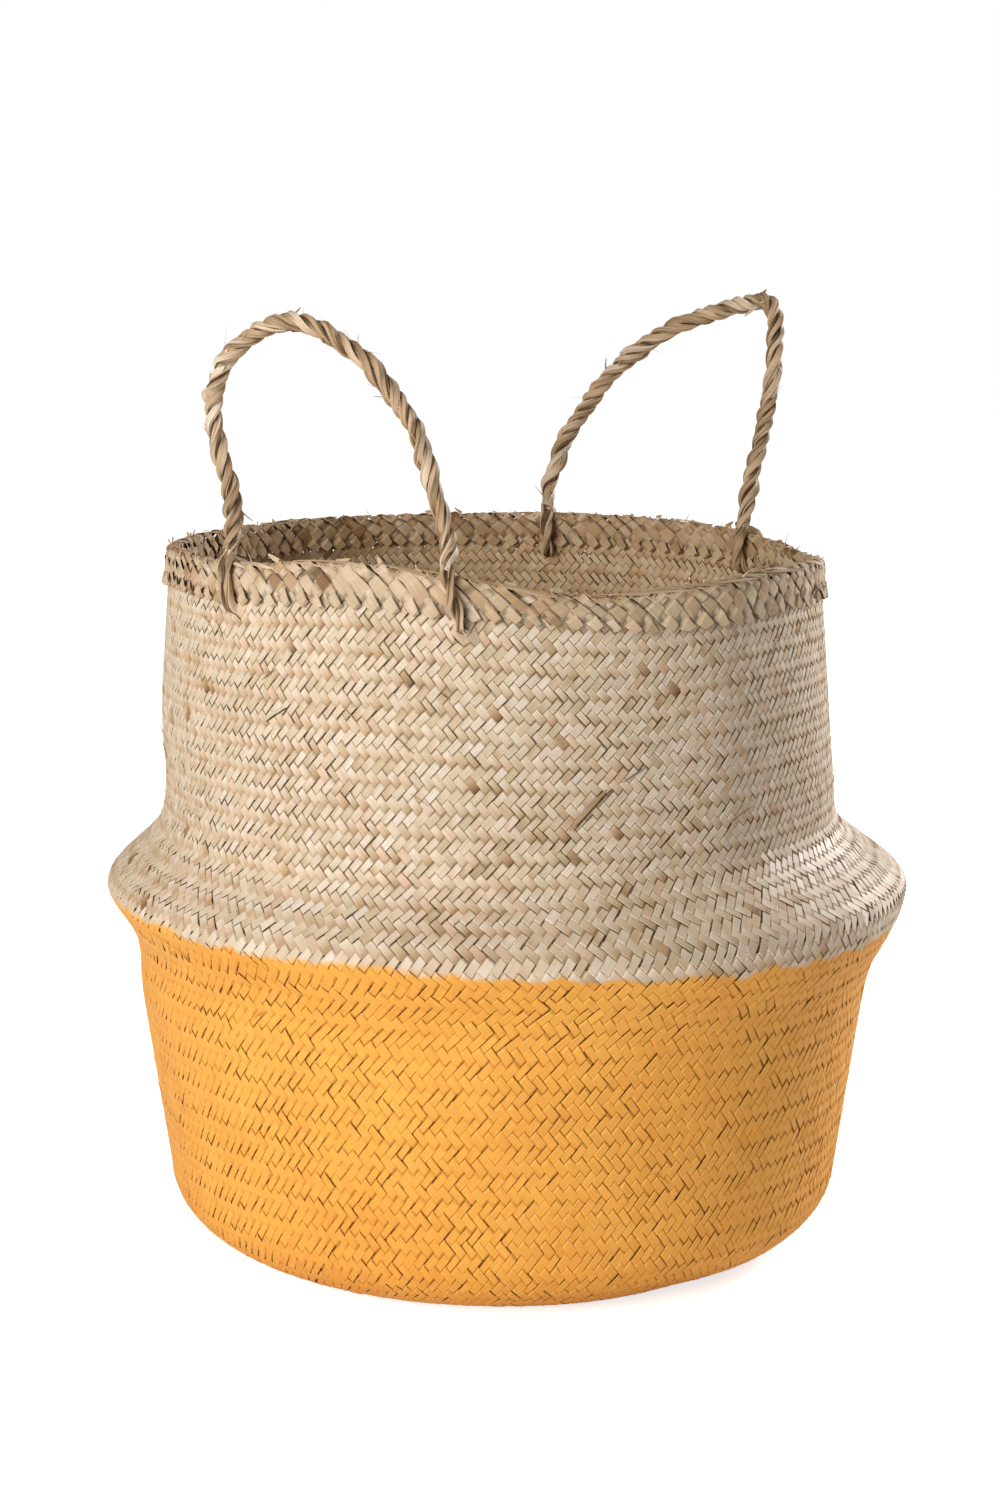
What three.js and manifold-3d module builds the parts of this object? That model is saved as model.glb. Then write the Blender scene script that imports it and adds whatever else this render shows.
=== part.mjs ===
// A belly basket plaited from split rush: a round base, a lower wall that flares to a turned-over belly,
// a natural upper wall with a turned-down border, and two twisted rush-rope handles.
// Millimetres, +Z up. The origin is on the floor under the middle of the base, and the handles are at -Y and +Y.
import * as THREE from 'three';
import Module from 'manifold-3d';
import { mergeVertices } from 'three/addons/utils/BufferGeometryUtils.js';

// Plaited body: sizes of the outside, from the belly down and up
const bellyRadius = 200;
const wallThickness = 3;
const flareHeight = 39;
const flareWidth = 16;
const flareSoftness = 15;
const wallHeight = 104.5;
const wallLean = 15;
const turnHeight = 35;
const turnWidth = 42;
const shoulderHeight = 37.5;
const shoulderWidth = 30.5;
const neckSoftness = 16;
const foldSoftnessBelow = 6;
const foldSoftnessAbove = 9;
const upperHeight = 127;
const upperTaper = 9.5;
const upperShiftX = -3.3;
const upperShiftY = -1.8;

// Turned-down border at the rim
const borderDepth = 16.5;
const borderThickness = 2;

// Rope handles: the rope, its eye round the rim, and the arch above it
const ropeDiameter = 8.5;
const eyeWidth = 8;
const eyeLegThickness = 4.5;
const eyeBarHeight = 5;
const holeBelowBorder = 4.4;
const crownTopWidth = 4;
const crownShoulder = 1;
const frontHandleSpread = 114;
const backHandleSpread = 124;
const frontHandleTurn = 3;
const backHandleTurn = -3.6;
const frontHandleHeight = 97.5;
const backHandleHeight = 107.5;
const handleLean = 10;
const pivotLift = 7.6;
const ropeNoseDiameter = 7;

// Clearances between pieces that touch
const seamGap = 0.3;
const eyeGap = 0.5;
const rimGap = 1.2;

// Facets
const around = 60;
const turnRows = 6;
const flareRows = 5;
const shoulderRows = 7;
const upperRows = 3;
const ropeSides = 8;
const ropeSteps = 30;
const noseSides = 8;
const noseRings = 6;
const eyeCornerRows = 3;

// Hand-made unevenness: how far the rim rises and sags, one side swells, the neck is pressed in,
// the foot is pushed up and the belly is pushed to one side
const frontRise = 8.5;
const leftRise = 3.5;
const frontSag = 6;
const backSag = 7.5;
const cornerSwell = 2.5;
const neckPress = 4.5;
const footLift = 3;
const bellyPush = 4.8;

// Where each of these is, in degrees from -Y towards +X, and how wide it is in degrees
const rimLumps = [
  { at: 6, width: 17, height: frontRise },
  { at: -38, width: 12, height: leftRise },
  { at: 48, width: 14, height: -frontSag },
  { at: 130, width: 18, height: -backSag },
];
const softCorner = { at: 70, width: 6, height: cornerSwell };
const neckDent = { at: -60, width: 26, height: -neckPress, aboveNeck: 10, tallness: 18 };
const footDent = { at: 63, width: 7, height: footLift };
const bellyShove = { at: 120, height: bellyPush, belowBelly: 19, tallness: 14 };

// Arches of the handles: across in half spreads, up in handle heights
const frontArch = [
  [-1, 0], [-1.04, 0.1], [-1.05, 0.22], [-1.1, 0.35], [-1.14, 0.5], [-1.13, 0.6], [-1.08, 0.7],
  [-0.98, 0.795], [-0.82, 0.89], [-0.62, 0.955], [-0.38, 1], [-0.2, 0.997], [0, 0.95], [0.2, 0.88],
  [0.36, 0.805], [0.51, 0.685], [0.68, 0.56], [0.76, 0.42], [0.82, 0.26], [0.88, 0.12], [1, 0],
];
const backArch = [
  [-1, 0], [-0.97, 0.06], [-0.94, 0.14], [-0.9, 0.225], [-0.83, 0.305], [-0.73, 0.4], [-0.62, 0.49],
  [-0.52, 0.573], [-0.35, 0.67], [-0.16, 0.759], [0.05, 0.828], [0.31, 0.896], [0.59, 0.952], [0.8, 0.98],
  [0.95, 1], [1.04, 0.955], [1.08, 0.86], [1.09, 0.75], [1.11, 0.6], [1.08, 0.44], [1.05, 0.28],
  [1.01, 0.13], [1, 0],
];

// Heights and radii that follow from the sizes
const waistRadius = bellyRadius - flareWidth;
const footRadius = waistRadius - wallLean;
const baseRadius = footRadius - turnWidth;
const waistHeight = turnHeight + wallHeight;
const bellyHeight = waistHeight + flareHeight;
const neckRadius = bellyRadius - shoulderWidth;
const neckHeight = bellyHeight + shoulderHeight;
const rimRadius = neckRadius - upperTaper;
const rimHeight = neckHeight + upperHeight;

const wasm = await Module();
wasm.setup();

const paintedRush = new THREE.MeshStandardMaterial({ color: '#efa03c', roughness: 0.85, metalness: 0 });
const naturalRush = new THREE.MeshStandardMaterial({ color: '#cbb393', roughness: 0.8, metalness: 0 });
const borderRush = new THREE.MeshStandardMaterial({ color: '#c0a580', roughness: 0.8, metalness: 0 });
const rushRope = new THREE.MeshStandardMaterial({ color: '#a98b66', roughness: 0.85, metalness: 0 });

const basket = new THREE.Group();

function radians(degrees) {
  return THREE.MathUtils.degToRad(degrees);
}

// How strongly a lump is felt at an angle round the wall, from 0 to 1
function lumpAt(lump, angle) {
  const turn = angle - radians(lump.at);
  const away = Math.atan2(Math.sin(turn), Math.cos(turn)) / radians(lump.width);
  return Math.exp(-away * away / 2);
}

// How strongly a lump is felt at a height, from 0 to 1
function levelAt(lump, middle, height) {
  const away = (height - middle) / lump.tallness;
  return Math.exp(-away * away / 2);
}

// Place of a point of the true round basket once the unevenness of hand work is added
function handMade(radius, height, angle) {
  const upper = THREE.MathUtils.smoothstep(height, bellyHeight, neckHeight);
  const overNeck = Math.max(0, height - neckHeight) / upperHeight;
  const underFoot = Math.max(0, 1 - height / turnHeight);
  const inTurn = THREE.MathUtils.clamp((radius - baseRadius) / turnWidth, 0, 1);
  let rise = footDent.height * lumpAt(footDent, angle) * underFoot * inTurn;
  for (const lump of rimLumps) {
    rise += lump.height * lumpAt(lump, angle) * overNeck;
  }
  const corner = softCorner.height * lumpAt(softCorner, angle) * upper;
  const dent = neckDent.height * lumpAt(neckDent, angle) * levelAt(neckDent, neckHeight + neckDent.aboveNeck, height);
  const push = bellyShove.height * levelAt(bellyShove, bellyHeight - bellyShove.belowBelly, height);
  const out = radius + corner + dent;
  const x = out * Math.sin(angle) + upperShiftX * upper + push * Math.sin(radians(bellyShove.at));
  const y = -out * Math.cos(angle) + upperShiftY * upper - push * Math.cos(radians(bellyShove.at));
  return new THREE.Vector3(x, y, height + rise);
}

// Outer line of the wall moved inwards by a distance, square to the line
function offsetInwards(line, distance) {
  return line.map((point, index) => {
    const before = line[Math.max(0, index - 1)];
    const after = line[Math.min(line.length - 1, index + 1)];
    const along = after.clone().sub(before).normalize();
    return new THREE.Vector2(point.x - along.y * distance, point.y + along.x * distance);
  });
}

// Closed ring between an outer and an inner line, both running upwards, with the unevenness added
function ringGeometry(outer, inner) {
  const section = [...outer, ...[...inner].reverse(), outer[0]];
  const geometry = new THREE.LatheGeometry(section, around);
  geometry.rotateX(Math.PI / 2);
  return bendByHand(geometry);
}

function bendByHand(geometry) {
  const places = geometry.attributes.position;
  for (let i = 0; i < places.count; i += 1) {
    const x = places.getX(i);
    const y = places.getY(i);
    const moved = handMade(Math.hypot(x, y), places.getZ(i), Math.atan2(x, -y));
    places.setXYZ(i, moved.x, moved.y, moved.z);
  }
  return geometry;
}

function toSolid(geometry) {
  const bare = geometry.clone();
  for (const name of Object.keys(bare.attributes)) {
    if (name !== 'position') bare.deleteAttribute(name);
  }
  const merged = mergeVertices(bare, 1e-4);
  const vertProperties = new Float32Array(merged.attributes.position.array);
  const triVerts = new Uint32Array(merged.index.array);
  return new wasm.Manifold(new wasm.Mesh({ numProp: 3, vertProperties, triVerts }));
}

function fromSolid(solid) {
  const mesh = solid.getMesh();
  const geometry = new THREE.BufferGeometry();
  geometry.setAttribute('position', new THREE.BufferAttribute(new Float32Array(mesh.vertProperties), 3));
  geometry.setIndex(new THREE.BufferAttribute(new Uint32Array(mesh.triVerts), 1));
  geometry.computeVertexNormals();
  return geometry;
}

function addPiece(parent, name, geometry, material) {
  const piece = new THREE.Mesh(geometry, material);
  piece.name = name;
  parent.add(piece);
  return piece;
}

// Base: the flat round mat that the plaiting starts from
const matLine = [
  new THREE.Vector2(0, 0),
  new THREE.Vector2(baseRadius - seamGap, 0),
  new THREE.Vector2(baseRadius - seamGap, wallThickness),
  new THREE.Vector2(0, wallThickness),
];
addPiece(basket, 'base_mat', bendByHand(new THREE.LatheGeometry(matLine, around).rotateX(Math.PI / 2)), paintedRush);

// Lower wall: the round bottom edge, the leaning wall and the flare up to the belly
function turnLine() {
  const quarter = new THREE.EllipseCurve(baseRadius, turnHeight, turnWidth, turnHeight, -Math.PI / 2, 0);
  return quarter.getPoints(turnRows);
}

function flareLine() {
  const lean = new THREE.Vector2(wallLean, wallHeight).normalize();
  const waist = new THREE.Vector2(waistRadius, waistHeight);
  const belly = new THREE.Vector2(bellyRadius, bellyHeight);
  return new THREE.CubicBezierCurve(
    waist,
    waist.clone().addScaledVector(lean, flareSoftness),
    new THREE.Vector2(bellyRadius, bellyHeight - foldSoftnessBelow),
    belly,
  ).getPoints(flareRows);
}

const lowerOuter = [...turnLine(), ...flareLine()];
const lowerInner = offsetInwards(lowerOuter, wallThickness);
lowerInner[0].set(baseRadius, wallThickness);
lowerInner[lowerInner.length - 1].set(bellyRadius - wallThickness, bellyHeight);
addPiece(basket, 'lower_wall', ringGeometry(lowerOuter, lowerInner), paintedRush);

// Belly shoulder: turns over from the belly to the neck of the upper wall
const shoulderOuter = new THREE.CubicBezierCurve(
  new THREE.Vector2(bellyRadius, bellyHeight + seamGap),
  new THREE.Vector2(bellyRadius, bellyHeight + seamGap + foldSoftnessAbove),
  new THREE.Vector2(neckRadius, neckHeight - seamGap - neckSoftness),
  new THREE.Vector2(neckRadius, neckHeight - seamGap),
).getPoints(shoulderRows);
const shoulderInner = offsetInwards(shoulderOuter, wallThickness);
shoulderInner[0].set(bellyRadius - wallThickness, bellyHeight + seamGap);
shoulderInner[shoulderInner.length - 1].set(neckRadius - wallThickness, neckHeight - seamGap);
addPiece(basket, 'belly_shoulder', ringGeometry(shoulderOuter, shoulderInner), naturalRush);

// Outside radius of the upper wall at a height
function upperRadius(height) {
  return THREE.MathUtils.lerp(neckRadius, rimRadius, (height - neckHeight) / upperHeight);
}

// Line up the upper wall from one height to another, a distance outside its face
function upperLine(low, high, outside, rows) {
  return Array.from({ length: rows + 1 }, (unused, row) => {
    const height = THREE.MathUtils.lerp(low, high, row / rows);
    return new THREE.Vector2(upperRadius(height) + outside, height);
  });
}

// Local frame at the rim, over a place round the wall: out of the wall, up along it, and along the rim
const middleOfWall = -wallThickness / 2;
const nudge = radians(1);

function rimFrame(angle) {
  const top = handMade(rimRadius + middleOfWall, rimHeight, angle);
  const low = handMade(upperRadius(rimHeight - borderDepth) + middleOfWall, rimHeight - borderDepth, angle);
  const left = handMade(rimRadius + middleOfWall, rimHeight, angle - nudge);
  const right = handMade(rimRadius + middleOfWall, rimHeight, angle + nudge);
  const up = top.clone().sub(low).normalize();
  const along = right.clone().sub(left);
  along.addScaledVector(up, -along.dot(up)).normalize();
  const out = along.clone().cross(up);
  const place = new THREE.Matrix4().makeBasis(out, up, out.clone().cross(up));
  place.setPosition(top);
  return { place, top, up };
}

// Rope eye: the rope's strands go through the wall under the border, clasp the rim and close in a crown above it
const eyeOpening = wallThickness / 2 + seamGap + borderThickness + eyeGap;
const eyeReach = eyeOpening + eyeLegThickness;
const holeDrop = borderDepth + holeBelowBorder;
const eyeBottom = -holeDrop - eyeBarHeight / 2;
const crownTop = crownShoulder + eyeReach - crownTopWidth / 2;
const pivotRise = crownTop + pivotLift;

function eyeGeometry() {
  const round = eyeLegThickness / 2;
  const outline = new THREE.Shape();
  outline.moveTo(-eyeReach, crownShoulder);
  outline.lineTo(-eyeReach, eyeBottom + round);
  outline.quadraticCurveTo(-eyeReach, eyeBottom, -eyeReach + round, eyeBottom);
  outline.lineTo(eyeReach - round, eyeBottom);
  outline.quadraticCurveTo(eyeReach, eyeBottom, eyeReach, eyeBottom + round);
  outline.lineTo(eyeReach, crownShoulder);
  outline.lineTo(crownTopWidth / 2, crownTop);
  outline.lineTo(-crownTopWidth / 2, crownTop);
  outline.closePath();
  const opening = new THREE.Path();
  opening.moveTo(-eyeOpening, rimGap);
  opening.lineTo(eyeOpening, rimGap);
  opening.lineTo(eyeOpening, eyeBottom + eyeBarHeight);
  opening.lineTo(-eyeOpening, eyeBottom + eyeBarHeight);
  opening.closePath();
  outline.holes.push(opening);
  const geometry = new THREE.ExtrudeGeometry(outline, {
    depth: eyeWidth,
    bevelEnabled: false,
    curveSegments: eyeCornerRows,
  });
  return geometry.translate(0, 0, -eyeWidth / 2);
}

// Cutter of the hole that an eye goes through
function holeCutter() {
  const depth = 4 * eyeReach;
  const height = eyeBarHeight + 2 * eyeGap;
  const width = eyeWidth + 2 * eyeGap;
  const geometry = new THREE.BoxGeometry(depth, height, width);
  return geometry.translate(0, -holeDrop, 0);
}

// Upper wall, with a hole under the border for each eye
function halfAngle(spread) {
  return Math.asin(spread / 2 / (rimRadius + middleOfWall));
}

const frontMiddle = radians(frontHandleTurn);
const backMiddle = Math.PI + radians(backHandleTurn);
const eyes = [
  { name: 'front_handle_left_eye', angle: frontMiddle - halfAngle(frontHandleSpread) },
  { name: 'front_handle_right_eye', angle: frontMiddle + halfAngle(frontHandleSpread) },
  { name: 'back_handle_left_eye', angle: backMiddle + halfAngle(backHandleSpread) },
  { name: 'back_handle_right_eye', angle: backMiddle - halfAngle(backHandleSpread) },
];
for (const eye of eyes) {
  Object.assign(eye, rimFrame(eye.angle));
  eye.pivot = eye.top.clone().addScaledVector(eye.up, pivotRise);
}

const wallOuter = upperLine(neckHeight, rimHeight, 0, upperRows);
const wallInner = upperLine(neckHeight, rimHeight, -wallThickness, upperRows);
let upperWall = toSolid(ringGeometry(wallOuter, wallInner));
for (const eye of eyes) {
  upperWall = upperWall.subtract(toSolid(holeCutter().applyMatrix4(eye.place)));
}
addPiece(basket, 'upper_wall', fromSolid(upperWall), naturalRush);

// Border: the ends of the strips turned down outside and inside the rim
function borderGeometry(nearFace, farFace) {
  const low = rimHeight - borderDepth;
  const outer = upperLine(low, rimHeight, Math.max(nearFace, farFace), 1);
  const inner = upperLine(low, rimHeight, Math.min(nearFace, farFace), 1);
  return ringGeometry(outer, inner);
}

addPiece(basket, 'rim_border_outer', borderGeometry(seamGap, seamGap + borderThickness), borderRush);
const insideFace = -wallThickness - seamGap;
addPiece(basket, 'rim_border_inner', borderGeometry(insideFace, insideFace - borderThickness), borderRush);

for (const eye of eyes) {
  addPiece(basket, eye.name, eyeGeometry().applyMatrix4(eye.place), rushRope);
}

// Handle arch: a rope that stands on the crowns of its two eyes, with a round nose on each end
function archGeometry(arch, spread, height) {
  const half = spread / 2;
  const tail = -pivotLift / 2;
  const points = arch.map(([across, up]) => new THREE.Vector3(across * half, 0, up * height));
  const route = new THREE.CatmullRomCurve3(
    [new THREE.Vector3(-half, 0, tail), ...points, new THREE.Vector3(half, 0, tail)],
    false,
    'centripetal',
  );
  const section = new THREE.Shape();
  section.absarc(0, 0, ropeDiameter / 2, 0, 2 * Math.PI);
  const rope = new THREE.ExtrudeGeometry(section, {
    steps: ropeSteps,
    curveSegments: ropeSides / 2,
    extrudePath: route,
  });
  return withNoses(rope, half);
}

function withNoses(rope, half) {
  const noseRadius = ropeNoseDiameter / 2;
  const drop = pivotLift - seamGap - noseRadius;
  let solid = toSolid(rope);
  for (const across of [-half, half]) {
    const nose = new THREE.SphereGeometry(noseRadius, noseSides, noseRings).translate(across, 0, -drop);
    solid = solid.add(toSolid(nose));
  }
  return fromSolid(solid);
}

// Handle: placed on the line between its two pivots and leaning outwards from it
function addHandle(name, left, right, arch, height, lean) {
  const across = right.clone().sub(left);
  const spread = across.length();
  across.normalize();
  const back = new THREE.Vector3(0, 0, 1).cross(across).normalize();
  const hinge = new THREE.Group();
  hinge.name = `${name}_hinge`;
  hinge.applyMatrix4(new THREE.Matrix4().makeBasis(across, back, across.clone().cross(back)));
  hinge.position.copy(left).add(right).multiplyScalar(0.5);
  const rope = addPiece(hinge, `${name}_rope`, archGeometry(arch, spread, height), rushRope);
  rope.rotation.x = radians(lean);
  basket.add(hinge);
}

addHandle('front_handle', eyes[0].pivot, eyes[1].pivot, frontArch, frontHandleHeight, handleLean);
addHandle('back_handle', eyes[2].pivot, eyes[3].pivot, backArch, backHandleHeight, -handleLean);

export default basket;
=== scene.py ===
"""Rush basket: a belly basket of split rush, with a painted lower half and two twisted rope handles.

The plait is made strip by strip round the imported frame. Lengths are in millimetres in the shape functions
and in metres in the sliders, the frame and the finished pieces.
"""

import math
from collections import namedtuple

import bmesh
import bpy
import numpy as np
from mathutils import Matrix, Vector


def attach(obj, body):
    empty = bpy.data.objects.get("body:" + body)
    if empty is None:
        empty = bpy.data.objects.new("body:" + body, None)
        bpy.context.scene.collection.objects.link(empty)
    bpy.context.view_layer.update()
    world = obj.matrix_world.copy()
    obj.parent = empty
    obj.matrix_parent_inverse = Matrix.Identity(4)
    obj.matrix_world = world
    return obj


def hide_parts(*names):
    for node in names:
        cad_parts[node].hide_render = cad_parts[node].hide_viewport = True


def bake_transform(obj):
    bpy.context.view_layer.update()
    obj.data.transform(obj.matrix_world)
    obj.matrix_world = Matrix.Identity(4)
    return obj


bl_info = {
    "name": "Rush Basket",
    "version": (1, 0, 0),
    "blender": (4, 5, 0),
    "location": "View3D > Sidebar > Basket",
    "description": "Builds a plaited rush basket with rope handles round its frame",
    "category": "Add Mesh",
}

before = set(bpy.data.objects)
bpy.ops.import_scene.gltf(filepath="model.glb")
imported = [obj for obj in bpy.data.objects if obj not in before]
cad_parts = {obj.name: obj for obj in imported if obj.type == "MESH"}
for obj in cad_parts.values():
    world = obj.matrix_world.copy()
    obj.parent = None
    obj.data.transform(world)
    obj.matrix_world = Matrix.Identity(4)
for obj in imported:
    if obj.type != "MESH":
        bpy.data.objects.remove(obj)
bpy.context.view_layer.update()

# Shape of the body, as in the frame: outside sizes from the belly down and up
BELLY_RADIUS = 200.0
WALL_THICKNESS = 3.0
FLARE_HEIGHT = 39.0
FLARE_WIDTH = 16.0
FLARE_SOFTNESS = 15.0
WALL_HEIGHT = 104.5
WALL_LEAN = 15.0
TURN_HEIGHT = 35.0
TURN_WIDTH = 42.0
SHOULDER_HEIGHT = 37.5
SHOULDER_WIDTH = 30.5
NECK_SOFTNESS = 16.0
FOLD_SOFTNESS_BELOW = 6.0
FOLD_SOFTNESS_ABOVE = 9.0
UPPER_HEIGHT = 127.0
UPPER_TAPER = 9.5
UPPER_SHIFT_X = -3.3
UPPER_SHIFT_Y = -1.8
BORDER_DEPTH = 16.5

WAIST_RADIUS = BELLY_RADIUS - FLARE_WIDTH
FOOT_RADIUS = WAIST_RADIUS - WALL_LEAN
BASE_RADIUS = FOOT_RADIUS - TURN_WIDTH
WAIST_HEIGHT = TURN_HEIGHT + WALL_HEIGHT
BELLY_HEIGHT = WAIST_HEIGHT + FLARE_HEIGHT
NECK_RADIUS = BELLY_RADIUS - SHOULDER_WIDTH
NECK_HEIGHT = BELLY_HEIGHT + SHOULDER_HEIGHT
RIM_RADIUS = NECK_RADIUS - UPPER_TAPER
RIM_HEIGHT = NECK_HEIGHT + UPPER_HEIGHT

# Hand-made unevenness: degrees from -Y towards +X, width in degrees, size in millimetres
RIM_LUMPS = ((6, 17, 8.5), (-38, 12, 3.5), (48, 14, -6.0), (130, 18, -7.5))
SOFT_CORNER = (70, 6, 2.5)
FOOT_DENT = (63, 7, 3.0)
NECK_DENT = (-60, 26, -4.5)
NECK_DENT_HEIGHT = NECK_HEIGHT + 10.0
NECK_DENT_TALLNESS = 18.0
BELLY_SHOVE = 4.8
BELLY_SHOVE_AT = math.radians(120)
BELLY_SHOVE_HEIGHT = BELLY_HEIGHT - 19.0
BELLY_SHOVE_TALLNESS = 14.0

# Rope handles and the eyes that hold them, as in the frame
ROPE_DIAMETER = 8.5
FRONT_HANDLE_SPREAD = 114.0
BACK_HANDLE_SPREAD = 124.0
FRONT_HANDLE_TURN = math.radians(3.0)
BACK_HANDLE_TURN = math.radians(180.0 - 3.6)
FRONT_HANDLE_HEIGHT = 97.5
BACK_HANDLE_HEIGHT = 107.5
HANDLE_LEAN = math.radians(10.0)
EYE_REACH = 8.8
EYE_LEG = 4.5
EYE_WIDTH = 8.0
HOLE_DROP = 20.9
PIVOT_RISE = 15.4
FRONT_ARCH = (
    (-1.05, 0), (-1.04, 0.1), (-1.05, 0.22), (-1.1, 0.35), (-1.14, 0.5), (-1.13, 0.6), (-1.08, 0.7),
    (-0.98, 0.795), (-0.82, 0.89), (-0.62, 0.955), (-0.38, 1), (-0.2, 0.997), (0, 0.95), (0.2, 0.88),
    (0.36, 0.805), (0.51, 0.685), (0.68, 0.56), (0.76, 0.42), (0.82, 0.26), (0.87, 0.12), (0.92, 0),
)
BACK_ARCH = (
    (-1, 0), (-0.97, 0.06), (-0.94, 0.14), (-0.9, 0.225), (-0.83, 0.305), (-0.73, 0.4), (-0.62, 0.49),
    (-0.52, 0.573), (-0.35, 0.67), (-0.16, 0.759), (0.05, 0.828), (0.31, 0.896), (0.59, 0.952), (0.8, 0.98),
    (0.95, 1), (1.04, 0.955), (1.08, 0.86), (1.09, 0.75), (1.11, 0.6), (1.08, 0.44), (1.05, 0.28),
    (1.01, 0.13), (1, 0),
)

# Camera of the photograph: where it stands, how it looks down and its lens
CAMERA_AZIMUTH = math.radians(29.8)
CAMERA_TURN = math.radians(29.86)
CAMERA_DISTANCE = 1.4233
CAMERA_HEIGHT = 0.5032
CAMERA_PITCH = math.radians(10.45)
CAMERA_LENS = 69.34
CAMERA_SENSOR = 36

# Two soft boxes: degrees from the camera, height, distance from the basket's middle, size and power in
# watts
SOFT_BOXES = {
    "soft_box_front_left": (-36, 1.0, 2.2, 1.4, 50.0),
    "soft_box_behind_right": (130, 0.9, 2.2, 0.7, 53.0),
}
LAMP_AIM_HEIGHT = 0.2
WORLD_LIGHT = 0.13

# White floor: its radius, the grey it reflects, and the distance and strength of its glow to the camera
# near the basket, where a shadow falls, and far off
FLOOR_RADIUS = 6.0
FLOOR_GREY = 0.9
FLOOR_NEAR = (0.35, 0.72)
FLOOR_FAR = (1.6, 0.97)


def linear(code):
    """Linear colour of an sRGB hex code."""
    values = [int(code[k:k + 2], 16) / 255 for k in (1, 3, 5)]
    return tuple(v / 12.92 if v <= 0.04045 else ((v + 0.055) / 1.055) ** 2.4 for v in values)


# Settings


class PlaitSettings(bpy.types.PropertyGroup):
    strips_around: bpy.props.IntProperty(
        name="Strips Around", description="Strips that lean each way round the wall", default=208, min=40)
    lower_row: bpy.props.FloatProperty(
        name="Lower Row Height", description="Height of one row of floats below the belly",
        default=0.0069, unit="LENGTH")
    upper_row: bpy.props.FloatProperty(
        name="Upper Row Height", description="Height of one row of floats above the belly",
        default=0.0054, unit="LENGTH")
    thickness: bpy.props.FloatProperty(
        name="Strip Thickness", description="Thickness of a flattened rush strip",
        default=0.0006, unit="LENGTH")
    relief: bpy.props.FloatProperty(
        name="Relief", description="How far a strip swings out and in as it passes over and under",
        default=0.0006, unit="LENGTH")
    cover: bpy.props.FloatProperty(
        name="Cover", description="Width of a strip as a share of its place in the plait",
        default=1.0, subtype="FACTOR", min=0.3, max=1.2)
    border_strips: bpy.props.IntProperty(
        name="Border Strips", description="Doubled strips that lean each way round the border",
        default=112, min=20)


class RopeSettings(bpy.types.PropertyGroup):
    plies: bpy.props.IntProperty(name="Plies", description="Plies twisted into the rope", default=3, min=2)
    lay: bpy.props.FloatProperty(
        name="Lay", description="Length of one turn of a ply round the rope",
        default=0.027, unit="LENGTH")
    leaf_lay: bpy.props.FloatProperty(
        name="Leaf Lay", description="Length of one turn of a leaf round its ply",
        default=0.075, unit="LENGTH")
    fibres: bpy.props.IntProperty(
        name="Loose Fibres", description="Fibres that stick out of each handle", default=46, min=0)


def colour_property(name, description, code):
    """A colour that a user can change, which starts as this hex code."""
    return bpy.props.FloatVectorProperty(
        name=name, description=description, default=linear(code), subtype="COLOR", size=3, min=0, max=1)


class FinishSettings(bpy.types.PropertyGroup):
    rush_pale: colour_property("Pale Rush", "Palest strips of the bare rush", "#ecdbc7")
    rush_mid: colour_property("Straw Rush", "Most strips of the bare rush", "#d9c1a2")
    rush_tan: colour_property("Tan Rush", "Browner strips of the bare rush", "#c2a079")
    rush_dark: colour_property("Dark Rush", "A few weathered floats", "#8a6745")
    tint_green: colour_property("Green Tint", "Tint of the strips that dried a little green", "#ebebdd")
    tint_pink: colour_property("Pink Tint", "Tint of the strips that dried a little pink", "#f9e8de")
    paint: colour_property("Paint", "Matt paint of the lower half", "#fbb751")
    paint_deep: colour_property("Deep Paint", "Paint where it lies thick or is soiled", "#eda042")
    # The rope's colours run from dark to pale; the ramp also carries painted shade on the leaves' inner faces
    rope_pale: colour_property("Pale Rope", "Ridges of the rope", "#c4a682")
    rope_mid: colour_property("Rope", "Most of the rope", "#9c7f5f")
    rope_dark: colour_property("Dark Rope", "Grooves of the rope", "#452f1c")


# Shape of the body


def unit(vectors):
    """The same vectors with a length of 1."""
    return vectors / np.linalg.norm(vectors, axis=-1, keepdims=True)


def lengths_along(points):
    """How far along its route each point lies."""
    return np.concatenate([[0.0], np.cumsum(np.linalg.norm(np.diff(points, axis=0), axis=1))])


def smoothstep(value, low, high):
    """A soft step from 0 at low to 1 at high."""
    share = np.clip((value - low) / (high - low), 0.0, 1.0)
    return share * share * (3 - 2 * share)


def degrees_from(start, angle):
    """Degrees from a place round the wall, given in degrees, to an angle, from -180 to 180."""
    return (np.degrees(angle) - start + 180) % 360 - 180


def lump_at(lump, angle):
    """How strongly a lump is felt at an angle round the wall, from 0 to 1."""
    return level_at(0, lump[1], degrees_from(lump[0], angle))


def level_at(middle, tallness, height):
    """How strongly a lump is felt at a height, from 0 to 1."""
    away = (height - middle) / tallness
    return np.exp(-away * away / 2)


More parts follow.
